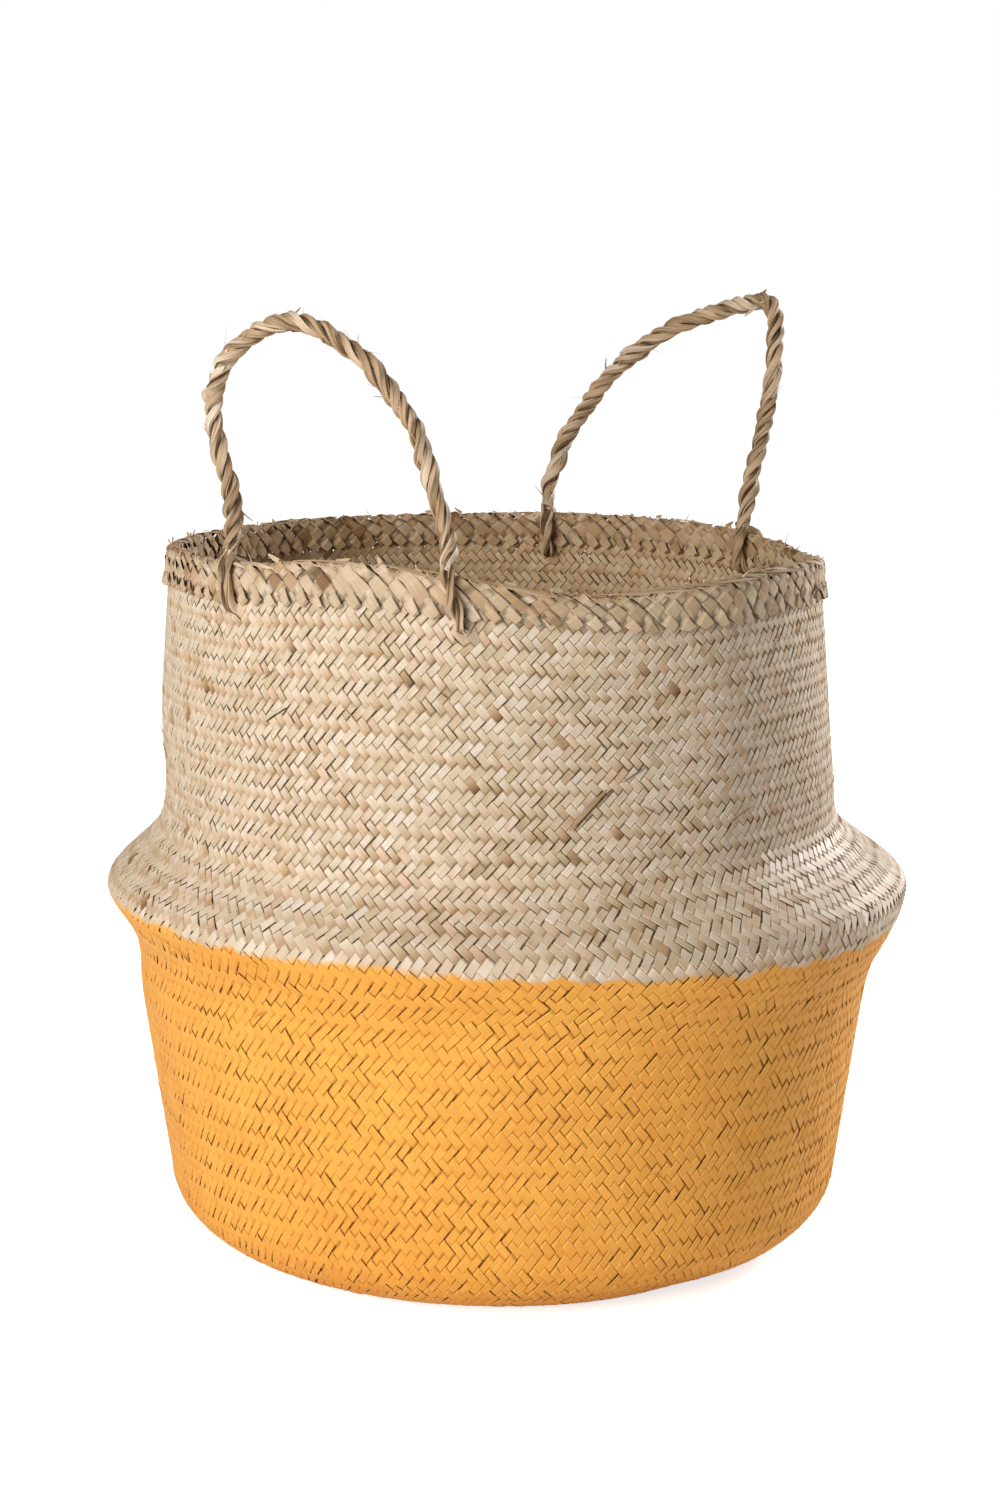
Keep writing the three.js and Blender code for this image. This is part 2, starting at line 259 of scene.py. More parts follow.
def hand_made(radius, height, angle):
    """Place of a point of the true round basket once the unevenness of hand work is added."""
    upper = smoothstep(height, BELLY_HEIGHT, NECK_HEIGHT)
    over_neck = np.maximum(0, height - NECK_HEIGHT) / UPPER_HEIGHT
    under_foot = np.maximum(0, 1 - height / TURN_HEIGHT)
    in_turn = np.clip((radius - BASE_RADIUS) / TURN_WIDTH, 0, 1)
    rise = FOOT_DENT[2] * lump_at(FOOT_DENT, angle) * under_foot * in_turn
    for lump in RIM_LUMPS:
        rise = rise + lump[2] * lump_at(lump, angle) * over_neck
    corner = SOFT_CORNER[2] * lump_at(SOFT_CORNER, angle) * upper
    dent = NECK_DENT[2] * lump_at(NECK_DENT, angle) * level_at(NECK_DENT_HEIGHT, NECK_DENT_TALLNESS, height)
    push = BELLY_SHOVE * level_at(BELLY_SHOVE_HEIGHT, BELLY_SHOVE_TALLNESS, height)
    out = radius + corner + dent
    x = out * np.sin(angle) + UPPER_SHIFT_X * upper + push * math.sin(BELLY_SHOVE_AT)
    y = -out * np.cos(angle) + UPPER_SHIFT_Y * upper - push * math.cos(BELLY_SHOVE_AT)
    return np.stack([x, y, height + rise], axis=-1)


def bezier(points, steps):
    """Points along the cubic curve that these four points steer."""
    share = np.linspace(0, 1, steps)[:, None]
    rest = 1 - share
    a, b, c, d = (np.array(p, float) for p in points)
    return rest ** 3 * a + 3 * rest ** 2 * share * b + 3 * rest * share ** 2 * c + share ** 3 * d


def outwards(line):
    """Directions out of the basket along a line that runs up its section."""
    along = unit(np.gradient(line, axis=0))
    return np.stack([along[:, 1], -along[:, 0]], axis=1)


class SectionLine:
    """A line up the wall's section or over the rim, with the row of plait at each of its points."""

    def __init__(self, points, row_height):
        self.points = points
        self.out = outwards(points)
        middle = (row_height[1:] + row_height[:-1]) / 2
        self.rows = np.concatenate([[0.0], np.cumsum(np.diff(lengths_along(points)) / middle)])

    def at(self, rows, lift):
        """Radius and height at a row, a distance outside the line."""
        point, out = ([np.interp(rows, self.rows, values[:, k]) for k in (0, 1)]
                      for values in (self.points, self.out))
        return [point[k] + lift * out[k] for k in (0, 1)]

    def row_of_height(self, height):
        """The row at a height, or at each of an array of heights."""
        return np.interp(height, self.points[:, 1], self.rows)


# How far the middle of the plait lies inside the wall's outer face
PLAIT_DEPTH = 0.95


def body_line(plait):
    """Middle line of the plait from the edge of the base up to the rim."""
    quarter = np.linspace(-math.pi / 2, 0, 25)
    turn = np.stack([BASE_RADIUS + TURN_WIDTH * np.cos(quarter), TURN_HEIGHT * (1 + np.sin(quarter))], axis=1)
    lean = unit(np.array([WALL_LEAN, WALL_HEIGHT]))
    waist = np.array([WAIST_RADIUS, WAIST_HEIGHT])
    belly = np.array([BELLY_RADIUS, BELLY_HEIGHT])
    neck = np.array([NECK_RADIUS, NECK_HEIGHT])
    wall = np.linspace(turn[-1], waist, 30)[1:]
    flare = bezier((waist, waist + lean * FLARE_SOFTNESS, belly - (0, FOLD_SOFTNESS_BELOW), belly), 30)[1:]
    shoulder = bezier((belly, belly + (0, FOLD_SOFTNESS_ABOVE), neck - (0, NECK_SOFTNESS), neck), 40)[1:]
    upper = np.linspace(neck, (RIM_RADIUS, RIM_HEIGHT), 30)[1:]
    line = np.concatenate([turn, wall, flare, shoulder, upper])
    line = line - outwards(line) * PLAIT_DEPTH
    change = smoothstep(line[:, 1], BELLY_HEIGHT, NECK_HEIGHT)
    return SectionLine(line, 1000 * (plait.lower_row + (plait.upper_row - plait.lower_row) * change))


# Middle of the border's strips outside and inside the rim, from the wall's middle: they lie close on the
# plait
BORDER_OUTSIDE = 2.5
BORDER_INSIDE = 1.4
# How far the fold's middle stays under the rim, and how flat the fold is
BORDER_SINK = 1.3
BORDER_FLATNESS = 0.8
# Rows of the border from its teeth up to the rim, and how much lower they get as they near the rim
BORDER_ROWS = 2.25
BORDER_ROW_AT_RIM = 0.45


def border_line():
    """Line of the border's section: up the outside of the rim, over its edge and down the inside."""
    half = (BORDER_OUTSIDE + BORDER_INSIDE) / 2
    middle = RIM_RADIUS - WALL_THICKNESS / 2 + (BORDER_OUTSIDE - BORDER_INSIDE) / 2
    lean = UPPER_TAPER / UPPER_HEIGHT
    edge = RIM_HEIGHT - BORDER_SINK
    up = np.linspace(-BORDER_DEPTH, 0, 20)
    outside = np.stack([middle + half - up * lean, edge + up], axis=1)
    over = np.linspace(0, math.pi, 17)[1:-1]
    fold = np.stack([middle + half * np.cos(over), edge + half * BORDER_FLATNESS * np.sin(over)], axis=1)
    inside = np.stack([middle - half - up[::-1] * lean, edge + up[::-1]], axis=1)
    line = np.concatenate([outside, fold, inside])
    from_edge = np.clip(np.abs(line[:, 1] - edge) / BORDER_DEPTH, 0, 1)
    row_height = BORDER_ROW_AT_RIM + (1 - BORDER_ROW_AT_RIM) * from_edge
    return SectionLine(line, row_height * SectionLine(line, row_height).rows[-1] / (2 * BORDER_ROWS))


# How far to each side the rim is read for its direction
RIM_NUDGE = math.radians(1)


def rim_frame(angle):
    """Top of the wall's middle at an angle, with the directions out of the wall, up it and along the rim."""
    middle = RIM_RADIUS - WALL_THICKNESS / 2
    widening = UPPER_TAPER * BORDER_DEPTH / UPPER_HEIGHT
    top = hand_made(middle, RIM_HEIGHT, angle)
    up = unit(top - hand_made(middle + widening, RIM_HEIGHT - BORDER_DEPTH, angle))
    left, right = (hand_made(middle, RIM_HEIGHT, angle + nudge) for nudge in (-RIM_NUDGE, RIM_NUDGE))
    along = unit(right - left - up * (right - left).dot(up))
    return top, np.cross(along, up), up, along


def half_angle(spread):
    """Angle round the rim from the middle of two feet to either of them."""
    return math.asin(spread / 2 / (RIM_RADIUS - WALL_THICKNESS / 2))


# Each foot is tied in a little askew: its angle round the rim, how far its hole is to the right and down
# and its crown to the right, and the half turns of its two bundles, outside the wall in front and inside it
# at the back
Eye = namedtuple("Eye", "angle hole_right hole_down crown_right half_turns")
EYES = {
    "front_handle_left_eye": Eye(FRONT_HANDLE_TURN - half_angle(FRONT_HANDLE_SPREAD), 2.6, 0.0, -2.8, 0),
    "front_handle_right_eye": Eye(FRONT_HANDLE_TURN + half_angle(FRONT_HANDLE_SPREAD), 2.3, 1.6, -4.5, 2),
    "back_handle_left_eye": Eye(BACK_HANDLE_TURN + half_angle(BACK_HANDLE_SPREAD), 0.0, 0.0, 0.0, 1),
    "back_handle_right_eye": Eye(BACK_HANDLE_TURN - half_angle(BACK_HANDLE_SPREAD), 0.0, -2.0, 0.0, 1),
}


def eye_frame(name):
    """Rim frame of an eye, with the direction along the rim to the right of its handle."""
    top, out, up, along = rim_frame(EYES[name].angle)
    return top, out, up, along if name.startswith("front") else -along


def hole_place(name):
    """Middle of the hole through the wall that an eye's bundles pass."""
    top, _, up, along = eye_frame(name)
    return top + along * EYES[name].hole_right - up * (HOLE_DROP + EYES[name].hole_down)


HOLES = [hole_place(name) for name in EYES]
# How far the strips are pushed aside at a hole, and how far round it that is felt
HOLE_PUSH = 3.4
HOLE_FELT = 5.5


def parted(places):
    """The strips are pushed aside where a rope goes through the wall."""
    for hole in HOLES:
        away = places - hole
        distance = np.linalg.norm(away, axis=-1, keepdims=True) + 0.01
        places = places + away / distance * HOLE_PUSH * np.exp(-(distance / HOLE_FELT) ** 2)
    return places


# Strips and plies as closed tubes


# Cross-section of a flattened strip: across in half widths, up in half thicknesses, and how far it faces
# out
STRIP_ACROSS = np.array([1, 0.86, -0.86, -1, -0.86, 0.86])
STRIP_UP = np.array([0, 1, 1, 0, -1, -1])
STRIP_OUTER = np.array([0.5, 1, 1, 0.5, 0, 0])

# Edges between faces that meet more sharply than this stay crisp
CRISP_ANGLE = math.radians(21)

# How far the grain is moved from strip to strip along and across them, so that no two look alike
GRAIN_SHIFT = 900.0
GRAIN_ASIDE = 400.0

TUBES = {}


def straight_tube(rings, sides):
    """A straight closed tube with this many rings, and the ring and side of each of its vertices."""
    if (rings, sides) not in TUBES:
        bm = bmesh.new()
        bmesh.ops.create_cone(bm, cap_ends=True, segments=sides, radius1=1, radius2=1, depth=1)
        long_edges = [e for e in bm.edges if abs(e.verts[0].co.z - e.verts[1].co.z) > 0.5]
        bmesh.ops.subdivide_edges(bm, edges=long_edges, cuts=rings - 2, use_grid_fill=True)
        mesh = bpy.data.meshes.new(f"tube_{rings}_{sides}")
        bm.to_mesh(mesh)
        bm.free()
        co = np.empty(len(mesh.vertices) * 3)
        mesh.vertices.foreach_get("co", co)
        co = co.reshape(-1, 3)
        turn = np.arctan2(co[:, 1], co[:, 0]) - math.atan2(co[0, 1], co[0, 0])
        side = np.rint(turn / (2 * math.pi / sides)).astype(int) % sides
        ring = np.rint((co[:, 2] + 0.5) * (rings - 1)).astype(int)
        TUBES[(rings, sides)] = (mesh, ring, side)
    return TUBES[(rings, sides)]


class Bundle:
    """Closed tubes gathered into one piece, with attributes for the finish at each point."""

    def __init__(self):
        self.tubes = []

    def add(self, places, fibre, look, outer=STRIP_OUTER):
        """Adds a tube: its places as rings by sides, and what its finish reads there.

        fibre is how far a point lies across its strip, and how far the grain is moved aside and along.
        look is its tone, its tint and its height over the other strips. outer is how far it faces outwards.
        """
        shape = places.shape[:2]
        across, aside, start = fibre
        run = lengths_along(places.mean(axis=1))[:, None] + start
        fibre = np.stack([np.broadcast_to(values, shape) for values in (across, aside, run)], axis=-1)
        look = np.stack([np.broadcast_to(values, shape) for values in look], axis=-1)
        self.tubes.append((places, fibre, look, np.broadcast_to(outer, shape)))

    def make(self, name, material):
        """One object of all the tubes, with its finish."""
        bm = bmesh.new()
        gathered = []
        for values in self.tubes:
            tube, ring, side = straight_tube(*values[0].shape[:2])
            bm.from_mesh(tube)
            gathered.append([value[ring, side] for value in values])
        co, fibre, look, outer = (np.concatenate(values) for values in zip(*gathered))
        mesh = bpy.data.meshes.new(name)
        bm.to_mesh(mesh)
        bm.free()
        mesh.vertices.foreach_set("co", (co / 1000).ravel())
        for label, kind, key, values in (("fibre", "FLOAT_VECTOR", "vector", fibre),
                                         ("look", "FLOAT_VECTOR", "vector", look),
                                         ("outer", "FLOAT", "value", outer)):
            attribute = mesh.attributes.new(label, kind, "POINT")
            attribute.data.foreach_set(key, values.astype(np.float32).ravel())
        if enclosed(mesh) < 0:
            mesh.flip_normals()
        mesh.polygons.foreach_set("use_smooth", np.ones(len(mesh.polygons), dtype=bool))
        mesh.set_sharp_from_angle(angle=CRISP_ANGLE)
        mesh.materials.append(material)
        piece = bpy.data.objects.new(name, mesh)
        bpy.context.collection.objects.link(piece)
        return piece


def enclosed(mesh):
    """Volume inside a mesh: negative when its faces point inwards."""
    bm = bmesh.new()
    bm.from_mesh(mesh)
    volume = bm.calc_volume(signed=True)
    bm.free()
    return volume


# Unevenness of a strip, in shares of its place in the plait: off its middle, in width, in its course and
# outwards
OFFSET_SPREAD = 0.045
WIDTH_SPREAD = 0.09
COURSE_SPREAD = 0.035
LIFT_SPREAD = 0.15
# Tone from pale, 0, to dark, 1: browner strips, bleached strips, single floats, stains, and the painted
# shade and light along a float, one half darker and the other lighter
BROWNER_STRIPS = 0.35
BLEACHED_STRIPS = 0.12
FLOAT_SPREAD = 0.06
STAIN_TONES = (0.1, 0.5)
FLOAT_SHADE_SPREAD = 0.07
TINT_SPREAD = 0.14
# Strips that lean right, and those that lean left: width, tone, share of stained floats, painted shade and
# light along a float
LEANING = {True: (0.94, 0.22, 0.008, 0.04), False: (1.06, 0.27, 0.04, 0.22)}

# More than the length of any strip, in strip widths
LONGEST_STRIP = 240


class Strand:
    """The unevenness of one strip all along its length, and its colour."""

    def __init__(self, seed, number, leans_right, rough=1.0):
        random = np.random.default_rng([seed, number, int(leans_right)])
        width, tone, stains, fade = LEANING[leans_right]
        self.offset = random.normal(0, OFFSET_SPREAD) * rough
        self.width = width + random.normal(0, WIDTH_SPREAD) * rough
        self.tone = tone + BROWNER_STRIPS * random.beta(1.5, 5) - random.uniform(0, BLEACHED_STRIPS)
        self.tint = float(np.clip(random.normal(0.5, TINT_SPREAD), 0, 1))
        self.wander, self.roll, self.swell = random.normal(0, COURSE_SPREAD * rough, (3, LONGEST_STRIP))
        self.lift = random.normal(0, LIFT_SPREAD * rough, LONGEST_STRIP)
        self.floats = random.normal(0, FLOAT_SPREAD, LONGEST_STRIP)
        stained = random.uniform(0, 1, LONGEST_STRIP) < stains
        self.floats[stained] += random.uniform(*STAIN_TONES, stained.sum())
        # Painted shade and light along each float: one half darker and the other lighter, as light falls on
        # its arch
        self.fade = random.normal(fade, FLOAT_SHADE_SPREAD, LONGEST_STRIP)

    def at(self, values, marks):
        """Values of the strip read at its marks, which start a little below 0."""
        return np.interp(marks, np.arange(LONGEST_STRIP) - 1, values)


class Plait:
    """Two families of strips that pass over two and under two of each other.

    A strip's marks are twice the rows of the plait, so there is one for each strip of the other family.
    """

    def __init__(self, place, pitch, thickness, relief, cover, dimming=1.0):
        self.place = place
        self.pitch = pitch
        self.thickness = thickness
        self.relief = relief
        self.cover = cover
        self.dimming = dimming

    def strip(self, bundle, strand, fixed, marks, along, swing, leans_right, narrow=1.0, tilt=0.0):
        """Adds one strip. along is its course in cells, and swing how far out it is there, from -1 to 1.

        narrow is a share of its width, and tilt lifts one edge over its neighbour, in millimetres.
        """
        middle = fixed + strand.offset + strand.at(strand.wander, marks)
        half = 0.5 * self.cover * strand.width * (1 + strand.at(strand.swell, marks)) * narrow
        across = middle[:, None] + half[:, None] * STRIP_ACROSS
        lift = self.relief * (swing + strand.at(strand.lift, marks))
        roll = strand.at(strand.roll, marks) * self.pitch + tilt
        up = lift[:, None] + STRIP_UP * self.thickness / 2 + STRIP_ACROSS * roll[:, None]
        cells = (across, along[:, None]) if leans_right else (along[:, None], across)
        number = np.floor((marks + 0.5) / 2).astype(int) + 1
        far_half = np.mod(marks + 0.5, 2) > 1
        # Tone of each float: its own tone and stains, and the painted shade and light along it
        tone = strand.tone + strand.floats[number] + strand.fade[number] * np.where(far_half, -1, 1)
        # Height over the other strips, which sets the painted shade at the dives; dimming lightens it under
        # others
        over = np.clip(np.where(swing < 0, swing * self.dimming, swing), -1, 1)
        facing = np.where(STRIP_OUTER > 0.4, 1, -1)
        bundle.add(
            self.place(*cells, up),
            (STRIP_ACROSS * self.pitch / 2, GRAIN_ASIDE * strand.width, GRAIN_SHIFT * strand.tint),
            (np.clip(tone, 0, 1)[:, None], strand.tint, 0.5 + 0.5 * over[:, None] * facing))


# How far from a crossing a float lies flat, in strip widths
BEND = 0.22


def knots(low, high):
    """Marks where a strip of the wall bends: its crossings and the two ends of each float's flat."""
    crossings = 2 * np.arange(math.floor(low / 2) - 1, math.ceil(high / 2) + 1) - 0.5
    marks = (crossings[:, None] + (0, BEND, 2 - BEND)).ravel()
    return marks[(marks >= low - 1e-6) & (marks <= high + 1e-6)]


def swing_at(marks):
    """How far out the strips that lean right are, from -1 to 1, at those marks."""
    part = np.mod(marks + 0.5, 4)
    at_crossing = (np.abs(part) < 1e-6) | (np.abs(part - 2) < 1e-6)
    return np.where(at_crossing, 0.0, np.where(part < 2, 1.0, -1.0))


def crossing_near(mark):
    """The crossing of strips nearest to a mark."""
    return 2 * round((mark + 0.5) / 2) - 0.5


def wall_place(line, strips):
    """Place of the point at strip numbers i and j on the wall."""
    def place(i, j, lift):
        radius, height = line.at((j - i) / 2, lift)
        return parted(hand_made(radius, height, math.pi * (i + j) / strips))
    return place


def laid_strip(bundle, centre, out, width, thickness, tone, tint, over=1.0):
    """Adds a flat strip along a route, facing out; thickness, tone and over may vary along it."""
    out = np.broadcast_to(out, centre.shape)
    side = unit(np.cross(np.gradient(centre, axis=0), out))
    thickness, tone, over = (
        np.broadcast_to(values, len(centre))[:, None] for values in (thickness, tone, over))
    across = STRIP_ACROSS * width[:, None] / 2
    up = STRIP_UP * thickness / 2
    places = centre[:, None] + side[:, None] * across[..., None] + out[:, None] * up[..., None]
    bundle.add(places, (across, GRAIN_SHIFT * tint, GRAIN_SHIFT * tint), (tone, tint, over))


def lifted(place, lift):
    """A route that is given as a function of its lift, with the directions out of the basket along it."""
    centre = place(lift)
    return centre, unit(place(lift + 0.5) - centre)


def pointed(share, blunt, sharpness=3.0):
    """Width along a sliver that narrows to blunt ends, as a share of its full width."""
    return np.minimum(1, blunt + sharpness * np.minimum(share, 1 - share))


# Materials


def add_node(tree, kind, settings=None, inputs=None, stops=(), output=0):
    """Adds a node with its settings and a ramp's stops, links or sets its inputs, and returns an output."""
    node = tree.nodes.new(kind)
    for key, value in (settings or {}).items():
        setattr(node, key, value)
    for key, value in (inputs or {}).items():
        socket = node.inputs[key]
        if isinstance(value, bpy.types.NodeSocket):
            tree.links.new(value, socket)
        else:
            socket.default_value = value
    if stops:
        elements = node.color_ramp.elements
        while len(elements) < len(stops):
            elements.new(0.5)
        for element, (position, colour) in zip(elements, stops):
            element.position = position
            element.color = (*colour, 1)
    return node.outputs[output] if len(node.outputs) else node


def cleared_tree(owner):
    """The emptied node tree of a material or world."""
    owner.use_nodes = True
    owner.node_tree.nodes.clear()
    return owner.node_tree


def streaks(tree, across, along):
    """Noise stretched along the fibres: across and along are how many changes there are in a millimetre."""
    fibre = add_node(tree, "ShaderNodeAttribute", {"attribute_name": "fibre"}, output="Vector")
    scaled = add_node(tree, "ShaderNodeVectorMath", {"operation": "MULTIPLY"}, {
        0: fibre, 1: (across, 1.0, along)})
    return add_node(tree, "ShaderNodeTexNoise", inputs={
        "Vector": scaled, "Scale": 1.0, "Detail": 3.0, "Roughness": 0.6})


def strip_look(tree):
    """Tone, tint and height over the other strips at a point, and how far the point faces out."""
    look = add_node(tree, "ShaderNodeAttribute", {"attribute_name": "look"}, output="Vector")
    parts = add_node(tree, "ShaderNodeSeparateXYZ", inputs={"Vector": look}).node.outputs
    outer = add_node(tree, "ShaderNodeAttribute", {"attribute_name": "outer"}, output="Fac")
    return {"tone": parts["X"], "tint": parts["Y"], "over": parts["Z"], "outer": outer}


# Ribs of a strip, in changes a millimetre across and along it: real ribs are 0.3 mm apart, which is too
# fine to show, so they are drawn 0.9 mm apart and 20 mm long
RIBS = (1.1, 0.05)
# Blotches of a strip, 20 mm wide and 14 mm long, where it dried unevenly
BLOTCHES = (0.05, 0.07)
# Fibre lines of the rope's leaves, 0.6 mm apart where the real ones are half of that, and its 2 mm wide
# leaves
ROPE_LINES = (1.6, 0.05)
ROPE_LEAVES = (0.45, 0.03)

# Painted shade on a strip where it dives under another one: the share of its colour that is left, from 0,
# under it, to 1, on top
DIVE_SHADE = (
    (0.0, (0.36, 0.29, 0.22)), (0.3, (0.48, 0.4, 0.32)), (0.52, (0.84, 0.8, 0.75)),
    (0.68, (0.97, 0.96, 0.94)), (1.0, (1.0, 1.0, 1.0)))
# The same painted shade for a leaf of the rope where it faces the rope's core, in the grooves between plies
CORE_SHADE = (
    (0.0, (0.16, 0.12, 0.08)), (0.3, (0.28, 0.23, 0.18)), (0.5, (0.72, 0.68, 0.63)), (0.68, (1, 1, 1)))
# Painted shade along a strip's edges, where it meets its neighbours: how much darker the very edge is
EDGE_SHADE = 0.14
# Painted shade on the strips' faces that look into the basket: they are a little darker and browner
INNER_FACE_SHADE = (0.95, 0.87, 0.74)


def strip_shade(tree, look, ribs, rib_depth, seam_shade_depth):
    """Painted shade at a strip's edges and where it dives under another, and darkening between its ribs."""
    offset = add_node(tree, "ShaderNodeMath", {"operation": "SUBTRACT"}, {0: look["outer"], 1: 0.5})
    from_edge = add_node(tree, "ShaderNodeMath", {"operation": "ABSOLUTE"}, {0: offset})
    edge = add_node(tree, "ShaderNodeMapRange", inputs={
        "Value": from_edge, "From Max": 0.45, "To Min": 1 - EDGE_SHADE * seam_shade_depth})
    dive = add_node(tree, "ShaderNodeValToRGB", inputs={"Fac": look["over"]}, stops=[
        (at, [1 - seam_shade_depth * (1 - value) for value in colour]) for at, colour in DIVE_SHADE])
    ribbed = add_node(tree, "ShaderNodeMapRange", inputs={
        "Value": ribs, "From Min": 0.3, "From Max": 0.7, "To Min": 1 - rib_depth, "To Max": 1.05})
    seamed = add_node(tree, "ShaderNodeMath", {"operation": "MULTIPLY"}, {0: edge, 1: dive})
    return add_node(tree, "ShaderNodeMath", {"operation": "MULTIPLY"}, {0: seamed, 1: ribbed})


def rush_colour(tree, finish, look, shade):
    """Colour of bare split rush: each strip's tone and tint, the blotches along it, and its painted shade."""
    shifted = add_node(tree, "ShaderNodeMath", {"operation": "MULTIPLY_ADD"}, {
        0: streaks(tree, *BLOTCHES), 1: 0.4, 2: -0.2})
    tone = add_node(tree, "ShaderNodeMath", {"operation": "ADD", "use_clamp": True}, {
        0: look["tone"], 1: shifted})
    base = add_node(tree, "ShaderNodeValToRGB", inputs={"Fac": tone}, stops=(
        (0.0, finish.rush_pale), (0.35, finish.rush_mid), (0.65, finish.rush_tan), (1.0, finish.rush_dark)))
    # Painted shade on the faces that look into the basket
    inner_shade = add_node(tree, "ShaderNodeValToRGB", inputs={"Fac": look["outer"]}, stops=(
        (0.0, INNER_FACE_SHADE), (0.48, INNER_FACE_SHADE), (0.52, (1, 1, 1))))
    tint = add_node(tree, "ShaderNodeValToRGB", inputs={"Fac": look["tint"]}, stops=(
        (0.0, finish.tint_green), (0.5, (1, 1, 1)), (1.0, finish.tint_pink)))
    tinted = add_node(tree, "ShaderNodeVectorMath", {"operation": "MULTIPLY"}, {0: base, 1: tint})
    faced = add_node(tree, "ShaderNodeVectorMath", {"operation": "MULTIPLY"}, {0: tinted, 1: inner_shade})
    return add_node(tree, "ShaderNodeVectorMath", {"operation": "SCALE"}, {0: faced, "Scale": shade})


def finish_shader(tree, colour, height, roughness, depth):
    """The surface itself: dry plant fibre or matt paint, with its ribs raised by a depth in metres."""
    bump = add_node(tree, "ShaderNodeBump", inputs={"Height": height, "Distance": depth, "Strength": 0.5})
    shader = add_node(tree, "ShaderNodeBsdfPrincipled", inputs={
        "Base Color": colour, "Roughness": roughness, "IOR": 1.45, "Specular IOR Level": 0.3, "Normal": bump})
    add_node(tree, "ShaderNodeOutputMaterial", inputs={"Surface": shader})


def bare_rush(tree, finish):
    """Sedge stems that were split, flattened, dried and plaited.

    The eye sees a dull straw colour varying from strip to strip, fine ribs and dark seams, partly painted
    shade.
    """
    look = strip_look(tree)
    ribs = streaks(tree, *RIBS)
    colour = rush_colour(tree, finish, look, strip_shade(tree, look, ribs, 0.2, 1.0))
    finish_shader(tree, colour, ribs, 0.72, 0.0002)


# The paint ends on a plane a little askew, or on a level one wherever that lies lower: how much each metre
# along X, Y and Z counts on the first, and how much higher the second one is in the middle
PAINT_SLOPE = (0.048, 0.027, 1.0)
PAINT_LEVEL_RISE = 0.003
# Height where the paint starts to end and where it has ended, once a wave of the hand-held brush is added:
# the waves are about 17 mm long, and they lower the edge by up to 12 mm
PAINT_EDGE = (0.1800, 0.1825)
PAINT_WAVES = 60.0
PAINT_WAVE_HEIGHT = 0.012
# Clouds 45 mm wide where the paint lies thicker
PAINT_CLOUDS = 22.0


def painted_rush(tree, finish):
    """Split rush with matt acrylic paint brushed on its outside once it was plaited.

    The paint evens out the strips' colour but not their ribs, lies deeper in clouds, fills the seams so that
    their painted shade is lighter, and leaves the inside bare.
    """
    look = strip_look(tree)
    ribs = streaks(tree, *RIBS)
    # Painted shade at edges and dives, lighter than on the bare rush as the paint fills the seams
    shade = strip_shade(tree, look, ribs, 0.1, 0.7)
    bare = rush_colour(tree, finish, look, shade)
    place = add_node(tree, "ShaderNodeTexCoord", output="Object")
    cloud = add_node(tree, "ShaderNodeTexNoise", inputs={
        "Vector": place, "Scale": PAINT_CLOUDS, "Detail": 4.0, "Roughness": 0.6})
    mixed = add_node(tree, "ShaderNodeMath", {"operation": "MULTIPLY_ADD"}, {
        0: look["tone"], 1: 0.45, 2: cloud})
    deep = add_node(tree, "ShaderNodeMapRange", inputs={"Value": mixed, "From Min": 0.35, "From Max": 1.05})
    paint = add_node(tree, "ShaderNodeValToRGB", inputs={"Fac": deep}, stops=(
        (0.0, finish.paint), (1.0, finish.paint_deep)))
    paint = add_node(tree, "ShaderNodeVectorMath", {"operation": "SCALE"}, {0: paint, "Scale": shade})

    askew = add_node(tree, "ShaderNodeVectorMath", {"operation": "DOT_PRODUCT"}, {0: place, 1: PAINT_SLOPE},
                     output="Value")
    level = add_node(tree, "ShaderNodeSeparateXYZ", inputs={"Vector": place}, output="Z")
    level = add_node(tree, "ShaderNodeMath", {"operation": "SUBTRACT"}, {0: level, 1: PAINT_LEVEL_RISE})
    height = add_node(tree, "ShaderNodeMath", {"operation": "MAXIMUM"}, {0: askew, 1: level})
    wave = add_node(tree, "ShaderNodeTexNoise", inputs={
        "Vector": place, "Scale": PAINT_WAVES, "Detail": 3.0})
    edge = add_node(tree, "ShaderNodeMath", {"operation": "MULTIPLY_ADD"}, {
        0: wave, 1: PAINT_WAVE_HEIGHT, 2: height})
    below = add_node(tree, "ShaderNodeMapRange", inputs={
        "Value": edge, "From Min": PAINT_EDGE[0], "From Max": PAINT_EDGE[1], "To Min": 1.0, "To Max": 0.0})
    outside = add_node(tree, "ShaderNodeMapRange", inputs={
        "Value": look["outer"], "From Min": 0.3, "From Max": 0.48})
    painted = add_node(tree, "ShaderNodeMath", {"operation": "MULTIPLY"}, {0: below, 1: outside})
    colour = add_node(tree, "ShaderNodeMix", {"data_type": "RGBA"}, {
        "Factor": painted, "A": bare, "B": paint}, output="Result")
    finish_shader(tree, colour, ribs, 0.52, 0.00016)


